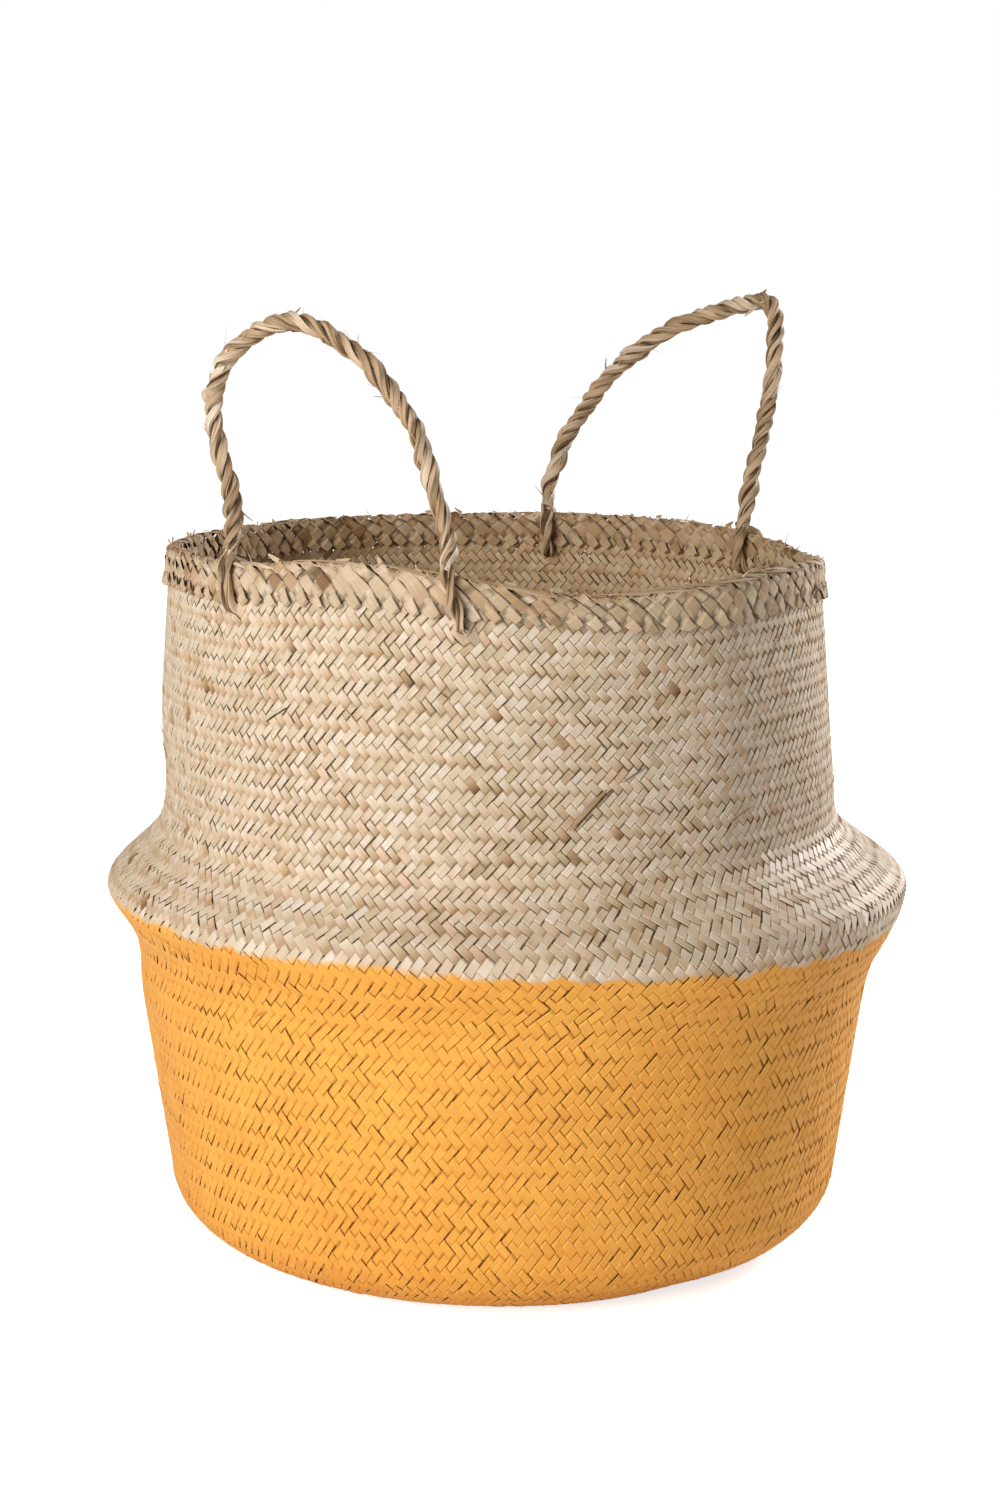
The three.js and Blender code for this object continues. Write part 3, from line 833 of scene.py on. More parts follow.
def twisted_rush(tree, finish):
    """Whole rush leaves, twisted by hand into plies and those into rope.

    The eye sees tan ridges with a slight gloss, fine lines along each leaf, and grooves of painted brown
    shade.
    """
    look = strip_look(tree)
    lines = streaks(tree, *ROPE_LINES)
    mixed = look["tone"]
    # Each leaf's tone and streaks, its outer face lighter than its inner one as painted shade, and its fibre
    # lines
    for values, share in ((streaks(tree, *ROPE_LEAVES), 1.1), (look["outer"], 0.5), (lines, 0.9)):
        mixed = add_node(tree, "ShaderNodeMath", {"operation": "MULTIPLY_ADD"}, {
            0: values, 1: share, 2: mixed})
    tone = add_node(tree, "ShaderNodeMapRange", inputs={"Value": mixed, "From Min": 0.88, "From Max": 2.8})
    leaf = add_node(tree, "ShaderNodeValToRGB", inputs={"Fac": tone}, stops=(
        (0.0, finish.rope_dark), (0.3, finish.rope_mid), (0.6, finish.rope_pale), (0.9, finish.rush_pale)))
    # Painted shade where a leaf faces the rope's core, in the grooves between plies
    core = add_node(tree, "ShaderNodeValToRGB", inputs={"Fac": look["over"]}, stops=CORE_SHADE)
    colour = add_node(tree, "ShaderNodeVectorMath", {"operation": "MULTIPLY"}, {0: leaf, 1: core})
    finish_shader(tree, colour, lines, 0.6, 0.0003)


FINISHES = {
    "bare_split_rush": bare_rush,
    "painted_split_rush": painted_rush,
    "twisted_rush_rope": twisted_rush,
}


def material_for(name, context):
    """The finish of that name, made the first time that it is asked for."""
    if name not in bpy.data.materials:
        FINISHES[name](cleared_tree(bpy.data.materials.new(name)), context.scene.basket_finish)
    return bpy.data.materials[name]


# Operators: one for each piece or group of like pieces


WALL_SEED = 11
BASE_SEED = 5
BORDER_SEED = 22
FRAYED_SEED = 51
EYE_SEED = 41
SLIVER_SEED = 61

# Width of a strip's place in the wall, as a share of its place round the neck: the strips cross it at a
# slant
STRIP_SLANT = 0.74
# The plait stops this far under the rim and the fold of the belly
RIM_MARGIN = 3.0
FOLD_MARGIN = 0.5


def wall_piece(context, name, low, high, families, finish):
    """Plaits one piece of the wall between two of its levels, from one or both families of strips."""
    settings = context.scene.basket_plait
    line = body_line(settings)
    heights = {"turn": TURN_HEIGHT, "belly": BELLY_HEIGHT - FOLD_MARGIN, "neck": NECK_HEIGHT,
               "rim": RIM_HEIGHT - RIM_MARGIN}
    levels = {level: crossing_near(2 * line.row_of_height(height)) for level, height in heights.items()}
    marks = knots(levels.get(low, -0.5), levels[high])
    pitch = 2 * math.pi * NECK_RADIUS / settings.strips_around * STRIP_SLANT
    plait = Plait(wall_place(line, settings.strips_around), pitch, settings.thickness * 1000,
                  settings.relief * 1000, settings.cover)
    bundle = Bundle()
    for leans_right in families:
        side = 1 if leans_right else -1
        for number in range(settings.strips_around):
            fixed = number + 0.5
            strand = Strand(WALL_SEED, number, leans_right)
            along = fixed + side * marks
            plait.strip(bundle, strand, fixed, marks, along, side * swing_at(marks), leans_right)
    return bundle.make(name, material_for(finish, context))


# The base's strips: the width of their place, and how much flatter they lie than the wall's
BASE_PITCH = 3.5
BASE_RELIEF = 0.8


class BASKET_OT_base(bpy.types.Operator):
    """Plait the flat round base"""
    bl_idname = "basket.base"
    bl_label = "Base"

    def execute(self, context):
        settings = context.scene.basket_plait
        cells = settings.strips_around // 4

        def place(i, j, lift):
            """A square mat's cells i and j, drawn out to a round one."""
            a = np.clip((i + j) / cells, -1, 1)
            b = np.clip((i - j) / cells, -1, 1)
            x = a * np.sqrt(1 - b * b / 2) * (BASE_RADIUS + 0.5)
            y = b * np.sqrt(1 - a * a / 2) * (BASE_RADIUS + 0.5)
            return np.stack([x, y, WALL_THICKNESS / 2 - lift], axis=-1)

        plait = Plait(place, BASE_PITCH, settings.thickness * 1000, settings.relief * 1000 * BASE_RELIEF,
                      settings.cover)
        bundle = Bundle()
        for leans_right in (True, False):
            for number in range(-cells, cells):
                fixed = number + 0.5
                shift = -number if leans_right else 2 - number
                course = (np.arange(-4 * cells, 4 * cells, 2)[:, None] + (0, 0.5, 1.5)).ravel()
                course = course[np.abs(course + shift) <= cells - abs(fixed)]
                if len(course) > 2:
                    strand = Strand(BASE_SEED, number + cells, leans_right)
                    plait.strip(bundle, strand, fixed, course + 2 * cells + 3.5, course + shift,
                                swing_at(course - 0.5), leans_right)
        piece = bundle.make("base_plait", material_for("painted_split_rush", context))
        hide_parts("base_mat")
        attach(piece, "lower_half")
        return {"FINISHED"}


class BASKET_OT_lower_wall(bpy.types.Operator):
    """Plait the painted lower wall, from the turn at the foot to the belly"""
    bl_idname = "basket.lower_wall"
    bl_label = "Lower Wall"

    def execute(self, context):
        for name, low, high, families in (
                ("foot_turn_plait", "foot", "turn", (True, False)),
                ("lower_wall_right_strips", "turn", "belly", (True,)),
                ("lower_wall_left_strips", "turn", "belly", (False,))):
            piece = wall_piece(context, name, low, high, families, "painted_split_rush")
            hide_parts("lower_wall")
            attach(piece, "lower_half")
        return {"FINISHED"}


class BASKET_OT_shoulder(bpy.types.Operator):
    """Plait the belly's shoulder, between the belly and the neck"""
    bl_idname = "basket.shoulder"
    bl_label = "Belly Shoulder"

    def execute(self, context):
        piece = wall_piece(
            context, "belly_shoulder_plait", "belly", "neck", (True, False), "painted_split_rush")
        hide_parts("belly_shoulder")
        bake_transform(piece)
        return {"FINISHED"}


class BASKET_OT_upper_wall(bpy.types.Operator):
    """Plait the bare upper wall"""
    bl_idname = "basket.upper_wall"
    bl_label = "Upper Wall"

    def execute(self, context):
        for name, leans_right in (("upper_wall_right_strips", True), ("upper_wall_left_strips", False)):
            piece = wall_piece(context, name, "neck", "rim", (leans_right,), "bare_split_rush")
            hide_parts("upper_wall")
            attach(piece, "upper_half")
        return {"FINISHED"}


# How far the border's teeth hang below the rim: degrees round it and millimetres
TOOTH_DROPS = (
    (-180, 18.0), (-130, 16.5), (-80, 17.5), (-40, 17.0), (-1, 18.6), (20, 19.0), (30, 16.0), (34, 14.3),
    (48, 15.3), (57, 19.4), (76, 21.7), (95, 20.0), (140, 17.0), (180, 18.0),
)
# Drop of a tooth that is neither drawn out nor shortened, and how far under the rim the others start to
# differ
TOOTH_REACH = BORDER_DEPTH + 1.5
TOOTH_START = 2.0


def border_place(line, strips):
    """Place of the point at strip numbers i and j on the border."""
    degrees, drops = zip(*TOOTH_DROPS)

    def place(i, j, lift):
        radius, height = line.at((j - i) / 2, lift)
        angle = math.pi * (i + j) / strips
        longer = np.interp(degrees_from(0, angle), degrees, drops) / TOOTH_REACH
        low = np.minimum(height - RIM_HEIGHT + TOOTH_START, 0)
        return hand_made(radius, height + low * (longer - 1), angle)
    return place


# Course of a doubled strip of the border from its tooth up: mark, how far out, and its width
TOOTH_COURSE = np.array((
    (0.0, 0.8, 0.64), (0.14, 2.8, 0.72), (0.8, 2.2, 0.8), (0.95, 0.6, 0.86), (1.08, -0.5, 0.9),
    (1.25, -0.5, 0.94), (1.4, 0.2, 0.98), (1.58, 1.0, 1.0), (2.38, 1.0, 1.0), (2.58, 1.0, 1.0),
    (2.76, 1.0, 1.0), (3.04, 1.0, 1.0), (3.22, 1.0, 1.0), (3.42, 1.0, 1.0), (3.7, 1.0, 1.0), (4.0, 1.0, 1.0),
    (4.3, 1.0, 1.0), (4.55, 1.0, 1.0)))
# The strips under them, which show only where those dive
UNDER_COURSE = np.array((
    (0.6, -1.0, 0.9), (0.92, 0.0, 0.96), (1.05, 0.5, 1.0), (1.28, 0.5, 1.0), (1.42, -0.2, 1.0),
    (1.7, -1.0, 1.0), (2.45, -1.0, 1.0), (2.65, 0.0, 1.0), (2.85, 0.6, 1.0), (3.1, 0.6, 1.0),
    (3.25, 0.0, 1.0), (3.45, -1.0, 1.0)))
# Where every strip of the border dives a second time, in degrees, and the share that does so anywhere else,
# spread evenly by the golden ratio; the others are laid flat above their teeth
PLAITED_BORDER = ((35, 180), (-180, -2))
PLAITED_SHARE = 0.65
GOLDEN_RATIO = 0.618
SECOND_DIVE = (2.4, 3.4)

# The border's strips: the width of their place, thickness, relief, how dark the painted shade at their
# dives is and how rough their course is beside the wall's, how far each lifts its edge over the next, how
# much of the painted shade and light along a float is left in them, and how far their dives slip along them
BORDER_PITCH = 7.0
BORDER_THICKNESS = 0.6
BORDER_RELIEF = 0.55
BORDER_DIMMING = 0.45
BORDER_ROUGHNESS = 1.8
BORDER_TILT = 0.12
BORDER_FLOAT_SHADE = 0.2
BORDER_SLIP = 0.08
# How much browner they are outside and inside the rim; the extra darkness inside is painted shade
BORDER_TONES = {False: 0.16, True: 0.3}
# Folds along the rim's edge: how many lie anywhere, and the middle and spread in degrees of those at the
# frayed lip of the photograph, and how many they are
EDGE_FOLDS = 30
LIP_FOLDS = (52, 20, 22)


def border_course(leans_right, number, strips, inside):
    """Marks, swing and width of one doubled strip of the border."""
    marks, swing, width = (UNDER_COURSE if leans_right else TOOTH_COURSE).T.copy()
    turned = degrees_from(0, math.pi * (2 * number + 1 + (3 if leans_right else -3)) / strips)
    plaited = (inside or any(low <= turned <= high for low, high in PLAITED_BORDER)
               or number * GOLDEN_RATIO % 1 < PLAITED_SHARE)
    second = (marks > SECOND_DIVE[0]) & (marks < SECOND_DIVE[1])
    if leans_right and not plaited:
        swing[second] = -1.0
    elif plaited and not leans_right:
        swing[second] = (0.0, -0.5, -0.5, 0.0)
    return marks, swing, width * (0.88 if plaited and not inside else 0.96)


def edge_fold(bundle, place, strips, start, random):
    """Adds a long thin fold that lies along the edge of the rim, from an angle to the left."""
    share = np.linspace(0, 1, 9)
    angle = start - share * math.radians(random.uniform(6, 13))
    middle = angle * strips / (2 * math.pi)
    row = random.uniform(1.7, 2.1) + random.uniform(0.2, 0.6) * share
    centre, out = lifted(lambda lift: place(middle - row, middle + row, lift), random.uniform(0.7, 1.0))
    width = random.uniform(0.9, 2.2) * pointed(share, 0.25)
    laid_strip(bundle, centre, out, width, 0.5, random.uniform(0.2, 0.75), random.uniform(0.3, 0.7))


class BASKET_OT_border(bpy.types.Operator):
    """Fold the doubled strip ends over the rim as a toothed border"""
    bl_idname = "basket.border"
    bl_label = "Rim Border"

    def execute(self, context):
        strips = context.scene.basket_plait.border_strips
        place = border_place(border_line(), strips)
        plait = Plait(place, BORDER_PITCH, BORDER_THICKNESS, BORDER_RELIEF, 1.0, BORDER_DIMMING)
        for name, node, inside in (
                ("rim_border_outer_plait", "rim_border_outer", False),
                ("rim_border_inner_plait", "rim_border_inner", True)):
            bundle = Bundle()
            for leans_right in (True, False):
                for number in range(strips):
                    strand = Strand(BORDER_SEED + inside, number, leans_right, BORDER_ROUGHNESS)
                    strand.tone += BORDER_TONES[inside]
                    strand.fade *= BORDER_FLOAT_SHADE
                    random = np.random.default_rng([BORDER_SEED + inside, number])
                    marks, swing, width = border_course(leans_right, number, strips, inside)
                    marks += random.normal(0, BORDER_SLIP) * (marks < 4)
                    if inside:
                        marks, swing, width = 4 * BORDER_ROWS - marks[::-1], swing[::-1], width[::-1]
                    fixed = number + 0.5
                    along = fixed + marks if leans_right else fixed - marks
                    plait.strip(bundle, strand, fixed, marks, along, swing, leans_right, width, BORDER_TILT)
            if not inside:
                random = np.random.default_rng(BORDER_SEED)
                anywhere = random.uniform(-180, 180, EDGE_FOLDS)
                for start in np.concatenate([anywhere, random.normal(*LIP_FOLDS)]):
                    edge_fold(bundle, place, strips, math.radians(start), random)
            piece = bundle.make(name, material_for("bare_split_rush", context))
            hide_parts(node)
            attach(piece, "upper_half")
        return {"FINISHED"}


def resampled(points, spacing):
    """The same route with points at equal distances."""
    run = lengths_along(points)
    even = np.linspace(0, run[-1], max(4, int(run[-1] / spacing) + 1))
    return np.stack([np.interp(even, run, points[:, k]) for k in range(3)], axis=1), even


def smooth_route(points, rounds=3):
    """Rounds off the corners of a route, with its ends kept."""
    points = np.asarray(points, float)
    for _ in range(rounds):
        quarter = points[:-1] * 0.75 + points[1:] * 0.25
        three = points[:-1] * 0.25 + points[1:] * 0.75
        points = np.concatenate([points[:1], np.stack([quarter, three], axis=1).reshape(-1, 3), points[-1:]])
    return points


def route_frames(points):
    """Direction along the route and two directions across it that don't spin as it bends."""
    along = unit(np.gradient(points, axis=0))
    side = np.cross(along[0], (0.3, 0.9, 0.2))
    sides = []
    for direction in along:
        side = unit(side - direction * side.dot(direction))
        sides.append(side)
    sides = np.array(sides)
    return along, sides, np.cross(along, sides)


def turned_off(turn, first, second):
    """Directions off a line at a turn round it, from the two directions across it."""
    return np.cos(turn)[..., None] * first + np.sin(turn)[..., None] * second


def along_run(run, count, values):
    """Values at equal distances along a route, read at each of its points."""
    return np.interp(run, np.linspace(0, run[-1], count), values)


# A leaf's reach from the middle of its ply, its width and its thickness, in radii of the ply, and leaves in
# a ply
LEAF_REACH = 0.6
LEAF_WIDTH = 1.75
LEAF_THICKNESS = 0.75
LEAVES = 4


def twisted_leaves(bundle, points, radius, core, leaf_lay, random):
    """Adds one ply of rope: rush leaves round its line, painted in shade where they face the rope's core."""
    along, first, second = route_frames(points)
    run = lengths_along(points)
    outward = points - core
    outward /= np.linalg.norm(outward, axis=1)[:, None] + 1e-6
    start = random.uniform(0, 2 * math.pi)
    for leaf in range(LEAVES):
        wander = along_run(run, 12, random.normal(0, 0.22, 12))
        turn = start + 2 * math.pi * (leaf / LEAVES + run / leaf_lay) + wander
        out = turned_off(turn, first, second)
        swell = 1 + along_run(run, 16, random.normal(0, 0.1, 16))
        width = radius * LEAF_WIDTH * (1 + along_run(run, 16, random.normal(0, 0.17, 16)))
        centre = points + out * (radius * swell * LEAF_REACH)[:, None]
        tilt = random.uniform(0.1, 0.3)
        flat = out * math.cos(tilt) + np.cross(along, out) * math.sin(tilt)
        tone = along_run(run, 9, random.uniform(0, 1, 9))
        over = 0.5 + 0.5 * (out * outward).sum(axis=1)
        laid_strip(bundle, centre, flat, width, radius * LEAF_THICKNESS, tone, random.uniform(0, 1), over)


# How far a stray fibre bends, as a share of its length
FIBRE_BEND = 0.35


def stray_fibre(bundle, root, direction, length, radius, random, tone):
    """Adds one thin round fibre that stands off and bends."""
    share = np.linspace(0, 1, 6)
    bend = random.normal(0, 1, 3)
    points = root + direction * length * share[:, None] + bend * length * FIBRE_BEND * share[:, None] ** 2
    first, second = route_frames(points)[1:]
    sides = np.linspace(0, 2 * math.pi, 4, endpoint=False)
    around = turned_off(sides, first[:, None], second[:, None])
    grain = float(int(random.integers(1e6)) % 97)
    places = points[:, None] + radius * (1.05 - share)[:, None, None] * around
    bundle.add(places, (grain, 0.0, 0.0), (tone, 0.5, 1.0), 1.0)


# Width along a broken leaf, from its root to its tip
LEAF_TAPER = np.array([1, 1, 0.95, 0.8, 0.35])


def leaf_end(bundle, root, off, along, random):
    """Adds the frayed end of a leaf that stands off the rope at a root, off being the way out of it."""
    share = np.linspace(0, 1, len(LEAF_TAPER))[:, None]
    way = along * random.choice([-1, 1]) + off * random.uniform(0.2, 0.6) + random.normal(0, 0.25, 3)
    length = random.uniform(2.5, 6)
    centre = root + way * length * share + off * length * random.normal(0, 0.3) * share ** 2
    width = random.uniform(0.9, 2.2) * LEAF_TAPER
    laid_strip(bundle, centre, off, width, 0.45, random.uniform(0.2, 1), random.uniform(0.35, 0.8))


def hinge_end(name):
    """Where a handle's hinge line ends, above one of its eyes."""
    top, _, up, _ = rim_frame(EYES[name].angle)
    return top + up * PIVOT_RISE


def handle_frame(name):
    """Hinge line of a handle: its middle, direction, back and up, with its spread, as in the frame."""
    left, right = (hinge_end(f"{name}_{side}_eye") for side in ("left", "right"))
    across = unit(right - left)
    back = unit(np.cross((0, 0, 1), across))
    return (left + right) / 2, across, back, np.cross(across, back), np.linalg.norm(right - left)


# How far the rope's foot is drawn off the rim's middle, and how high above the rim its twist ends
FOOT_LEAN = 3.6
FOOT_RISE = 3.5


def foot_place(name):
    """Where the rope's twist ends above an eye, and its bundles part."""
    top, out, up, along = eye_frame(name)
    lean = FOOT_LEAN if name.startswith("front") else -FOOT_LEAN
    return top + along * EYES[name].crown_right + out * lean + up * FOOT_RISE


# Each handle: its arch, height and lean, the thickness of its rope as a share of the common size, and its
# seed
Handle = namedtuple("Handle", "arch height lean rope_share seed")
HANDLES = {
    "front_handle": Handle(FRONT_ARCH, FRONT_HANDLE_HEIGHT, HANDLE_LEAN, 0.85, 31),
    "back_handle": Handle(BACK_ARCH, BACK_HANDLE_HEIGHT, -HANDLE_LEAN, 0.92, 37),
}
# In shares of the rope's thickness: how far a ply runs from its middle, the ply's radius, and where loose
# ends root
PLY_REACH = 0.275
PLY_RADIUS = 0.27
FIBRE_ROOT = 0.42
LEAF_ROOT = 0.4
# How far from its foot the rope gets thinner, and to which share
FOOT_TAPER = (14, 0.72)
# Frayed leaf ends along each rope, and as many again at the sharp bend near the top of the back one
LEAF_ENDS = 15
# Distance between the points of a route, on the ropes and in the eyes
ROPE_STEP = 1.3
EYE_STEP = 1.2


def handle_route(name):
    """Centre line of a handle's rope from the foot above one eye to the foot above the other."""
    handle = HANDLES[name]
    middle, across, back, up, spread = handle_frame(name)
    up = up * math.cos(handle.lean) - back * math.sin(handle.lean)
    points = [middle + across * a * spread / 2 + up * u * handle.height for a, u in handle.arch]
    points = [foot_place(f"{name}_left_eye"), *points, foot_place(f"{name}_right_eye")]
    return resampled(smooth_route(points), ROPE_STEP)


class BASKET_OT_handles(bpy.types.Operator):
    """Twist the two rope handles"""
    bl_idname = "basket.handles"
    bl_label = "Rope Handles"

    def execute(self, context):
        rope = context.scene.basket_rope
        for name, handle in HANDLES.items():
            random = np.random.default_rng(handle.seed)
            route, run = handle_route(name)
            along, first, second = route_frames(route)
            thickness = ROPE_DIAMETER * handle.rope_share
            bundle = Bundle()
            wander = along_run(run, 14, random.normal(0, 0.6, 14))
            taper = np.interp(np.minimum(run, run[-1] - run), (0, FOOT_TAPER[0]), (FOOT_TAPER[1], 1.0))
            for ply in range(rope.plies):
                turn = 2 * math.pi * (run / (rope.lay * 1000) + ply / rope.plies) + wander
                swell = along_run(run, 30, random.normal(1, 0.11, 30)) * taper
                centre = route + (thickness * PLY_REACH * swell)[:, None] * turned_off(turn, first, second)
                radius = thickness * PLY_RADIUS * swell
                twisted_leaves(bundle, centre, radius, route, rope.leaf_lay * 1000, random)
            for _ in range(rope.fibres):
                at = random.integers(4, len(route) - 4)
                off = turned_off(random.uniform(0, 2 * math.pi), first[at], second[at])
                direction = off * random.uniform(0.15, 0.6) + along[at] * random.choice([-1, 1])
                stray_fibre(bundle, route[at] + off * thickness * FIBRE_ROOT, direction,
                            random.uniform(2, 9), random.uniform(0.12, 0.3), random, random.uniform(0.3, 1))
            spots = random.integers(6, len(route) - 6, LEAF_ENDS)
            if name.startswith("back"):
                bend = route[:, 2].argmax()
                spots = np.concatenate([spots, bend + random.integers(-3, 7, LEAF_ENDS)])
            for at in spots:
                off = turned_off(random.uniform(0, 2 * math.pi), first[at], second[at])
                leaf_end(bundle, route[at] + off * thickness * LEAF_ROOT, off, along[at], random)
            piece = bundle.make(f"{name}_twisted_rope", material_for("twisted_rush_rope", context))
            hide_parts(f"{name}_rope")
            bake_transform(piece)
        return {"FINISHED"}


# In the eyes: the leaves' lay, a bundle's radius as a share of a leg's thickness, how far each bundle lies
# from their middle in the legs, at the crown and in the rope, and the loose fibres
EYE_LEAF_LAY = 70.0
BUNDLE_RADIUS = 0.48
BUNDLE_APART = EYE_WIDTH / 5
FOOT_APART = 1.1
ROPE_APART = 0.8
EYE_FIBRES = 7


def eye_loop(name, side):
    """Route of one of an eye's two bundles: down outside the wall, through its hole and up the inside."""
    top, out, up, along = eye_frame(name)
    eye = EYES[name]
    middle = EYE_REACH - EYE_LEG / 2
    hole = -HOLE_DROP - eye.hole_down
    # Each leg from the rim down: reach from the wall's middle, height, and how wide the bundles spread
    leg = [(middle * 0.9, 0.5, 0.8), (middle * 1.04, -6, 1.0), (middle * 1.04, -12, 1.1),
           (middle, hole + 3, 0.9), (middle * 0.6, hole + 0.3, 0.6)]
    through = leg + [(0, hole, 0.5)] + [(-reach, height, apart) for reach, height, apart in leg[::-1]]
    foot = foot_place(name)
    points = [foot + up * 3 + along * side * ROPE_APART, foot + along * side * FOOT_APART]
    twist_start = 0 if name.startswith("front") else len(leg) + 1
    for step, (reach, height, apart) in enumerate(through):
        turn = math.pi * eye.half_turns * np.clip((step - twist_start) / (len(leg) - 1), 0, 1)
        share = np.clip(1 - (height - hole) / -hole, 0, 1)
        askew = eye.crown_right + (eye.hole_right - eye.crown_right) * share
        shift = askew + side * apart * BUNDLE_APART * math.cos(turn)
        off = side * BUNDLE_APART * math.sin(turn)
        points.append(top + out * (reach + off) + up * height + along * shift)
    side *= math.cos(turn)
    points += [foot - up * 1 + along * side * FOOT_APART, foot + up * 3 + along * side * ROPE_APART]
    return resampled(smooth_route(points), EYE_STEP)


class BASKET_OT_eyes(bpy.types.Operator):
    """Pass the ropes' two bundles through the wall and round the rim at each foot"""
    bl_idname = "basket.eyes"
    bl_label = "Rope Eyes"

    def execute(self, context):
        random = np.random.default_rng(EYE_SEED)
        for name in EYES:
            _, out, up, along = eye_frame(name)
            handle = HANDLES[name.rsplit("_", 2)[0]]
            loops = [eye_loop(name, side) for side in (-1, 1)]
            count = min(len(points) for points, _ in loops)
            core = sum(points[:count] for points, _ in loops) / 2
            bundle = Bundle()
            for points, run in loops:
                uneven = 1 + along_run(run[:count], 12, random.normal(0, 0.07, 12))
                radius = EYE_LEG * BUNDLE_RADIUS * handle.rope_share * uneven
                twisted_leaves(bundle, points[:count], radius, core, EYE_LEAF_LAY, random)
            for _ in range(EYE_FIBRES):
                root = hole_place(name) + out * EYE_REACH * 0.6 + up + along * random.uniform(-3, 3)
                direction = -up * random.uniform(0.4, 1) + along * random.normal(0, 0.5) + out * 0.15
                stray_fibre(bundle, root, direction,
                            random.uniform(3, 8), 0.35, random, random.uniform(0.3, 1))
            piece = bundle.make(f"{name}_bundles", material_for("twisted_rush_rope", context))
            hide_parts(name)
            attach(piece, "upper_half")
        return {"FINISHED"}


# Thin fibres and broken leaf ends that stand up along the rim
RIM_FIBRES = 210
RIM_LEAVES = 30


class BASKET_OT_frayed_ends(bpy.types.Operator):
    """Add the frayed strip ends that stand up along the rim"""
    bl_idname = "basket.frayed_ends"
    bl_label = "Frayed Ends"

    def execute(self, context):
        random = np.random.default_rng(FRAYED_SEED)
        bundle = Bundle()
        for _ in range(RIM_FIBRES):
            top, out, up, along = rim_frame(random.uniform(0, 2 * math.pi))
            root = top + up * random.uniform(-1, 1.2) + out * random.uniform(-2.6, 2.8)
            direction = up * random.uniform(0.2, 1) + along * random.normal(0, 0.9)
            direction = direction + out * random.normal(0, 0.5)
            stray_fibre(bundle, root, unit(direction), random.uniform(1.5, 6),
                        random.uniform(0.15, 0.45), random, random.uniform(0.2, 0.9))
        for _ in range(RIM_LEAVES):
            top, out, up, along = rim_frame(random.uniform(0, 2 * math.pi))
            direction = up * random.uniform(0.1, 0.6) + along * random.normal(0, 0.9)
            direction = direction + out * random.normal(0, 0.3)
            run = np.linspace(0, random.uniform(2.5, 6), len(LEAF_TAPER))[:, None]
            bend = up * random.normal(0, 0.06) + along * random.normal(0, 0.06)
            centre = top + up * 1.2 + out * random.uniform(-2, 2.4) + direction * run + bend * run ** 2
            width = random.uniform(1.2, 2.6) * LEAF_TAPER
            laid_strip(bundle, centre, out, width, 0.4, random.uniform(0.2, 0.7), 0.5)
        piece = bundle.make("rim_frayed_ends", material_for("bare_split_rush", context))
        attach(piece, "upper_half")
        return {"FINISHED"}


def split_sliver(bundle, line, low, high, random):
    """Adds a thin sliver that has split off a strip and stands off the wall at one end."""
    share = np.linspace(0, 1, 7)
    lean = random.choice([-1, 1]) * random.uniform(0.5, 1.1)
    length = random.uniform(5, 15)
    bow = random.normal(0, 0.12)
    aside = (share * math.sin(lean) + bow * share ** 2) * length
    angle = random.uniform(-math.pi, math.pi) + aside / NECK_RADIUS
    rows = line.row_of_height(random.uniform(low, high)) + share * length * math.cos(lean) / 6
    lift = 1.1 + random.uniform(0.3, 2.5) * share ** 3
    centre, out = lifted(lambda lift: hand_made(*line.at(rows, lift), angle), lift)
    width = random.uniform(0.35, 0.9) * pointed(share, 0.3)
    laid_strip(bundle, centre, out, width, 0.3, random.uniform(0.5, 1), random.uniform(0.3, 0.7))


# Strips that have come loose from the upper wall: degrees and height of the top, the same of the foot,
# width, tone
LOOSE_STRIPS = ((47.4, 253.8, 41.2, 234.8, 2.4, 0.62), (-5.0, 281.8, -9.6, 274.6, 1.6, 0.2))


def loose_strip(bundle, line, top_angle, top, foot_angle, foot, widest, tone):
    """Adds a strip standing off the wall between its ends, and beside it a dark strip as its painted shadow.
    """
    share = np.linspace(0, 1, 13)
    bow = np.sin(math.pi * share)
    degrees = top_angle + (foot_angle - top_angle) * share
    rows = line.row_of_height(top + (foot - top) * share)
    # The strip and its painted shadow: distance to the right, lift, width, tone and how bright it is
    for aside, lift, width, tone, over in ((0.0, 0.8 + 1.3 * bow, widest, tone, 0.9),
                                           (0.36 + widest * 0.72, 1.2 + 0.3 * bow, 0.9, 1.0, 0.1)):
        angle = np.radians(degrees) + (aside - 1.2 * bow) / NECK_RADIUS
        centre, out = lifted(lambda lift: hand_made(*line.at(rows, lift), angle), lift)
        laid_strip(bundle, centre, out, width * pointed(share, 0.2, 2.6), 0.35, tone, 0.2, over)


class BASKET_OT_slivers(bpy.types.Operator):
    """Add the slivers that have split off the strips of both walls"""
    bl_idname = "basket.slivers"
    bl_label = "Split Slivers"

    def execute(self, context):
        line = body_line(context.scene.basket_plait)
        for name, count, low, high, loose_strips, finish, slot, body in (
                ("upper_wall_slivers", 34, NECK_HEIGHT, RIM_HEIGHT - 30, LOOSE_STRIPS,
                 "bare_split_rush", "natural_rush", "upper_half"),
                ("lower_wall_slivers", 22, TURN_HEIGHT, BELLY_HEIGHT - 10, (),
                 "painted_split_rush", "painted_rush", "lower_half")):
            random = np.random.default_rng(SLIVER_SEED)
            bundle = Bundle()
            for _ in range(count):
                split_sliver(bundle, line, low, high, random)
            for loose in loose_strips:
                loose_strip(bundle, line, *loose)
            piece = bundle.make(name, material_for(finish, context))
            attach(piece, body)
        return {"FINISHED"}


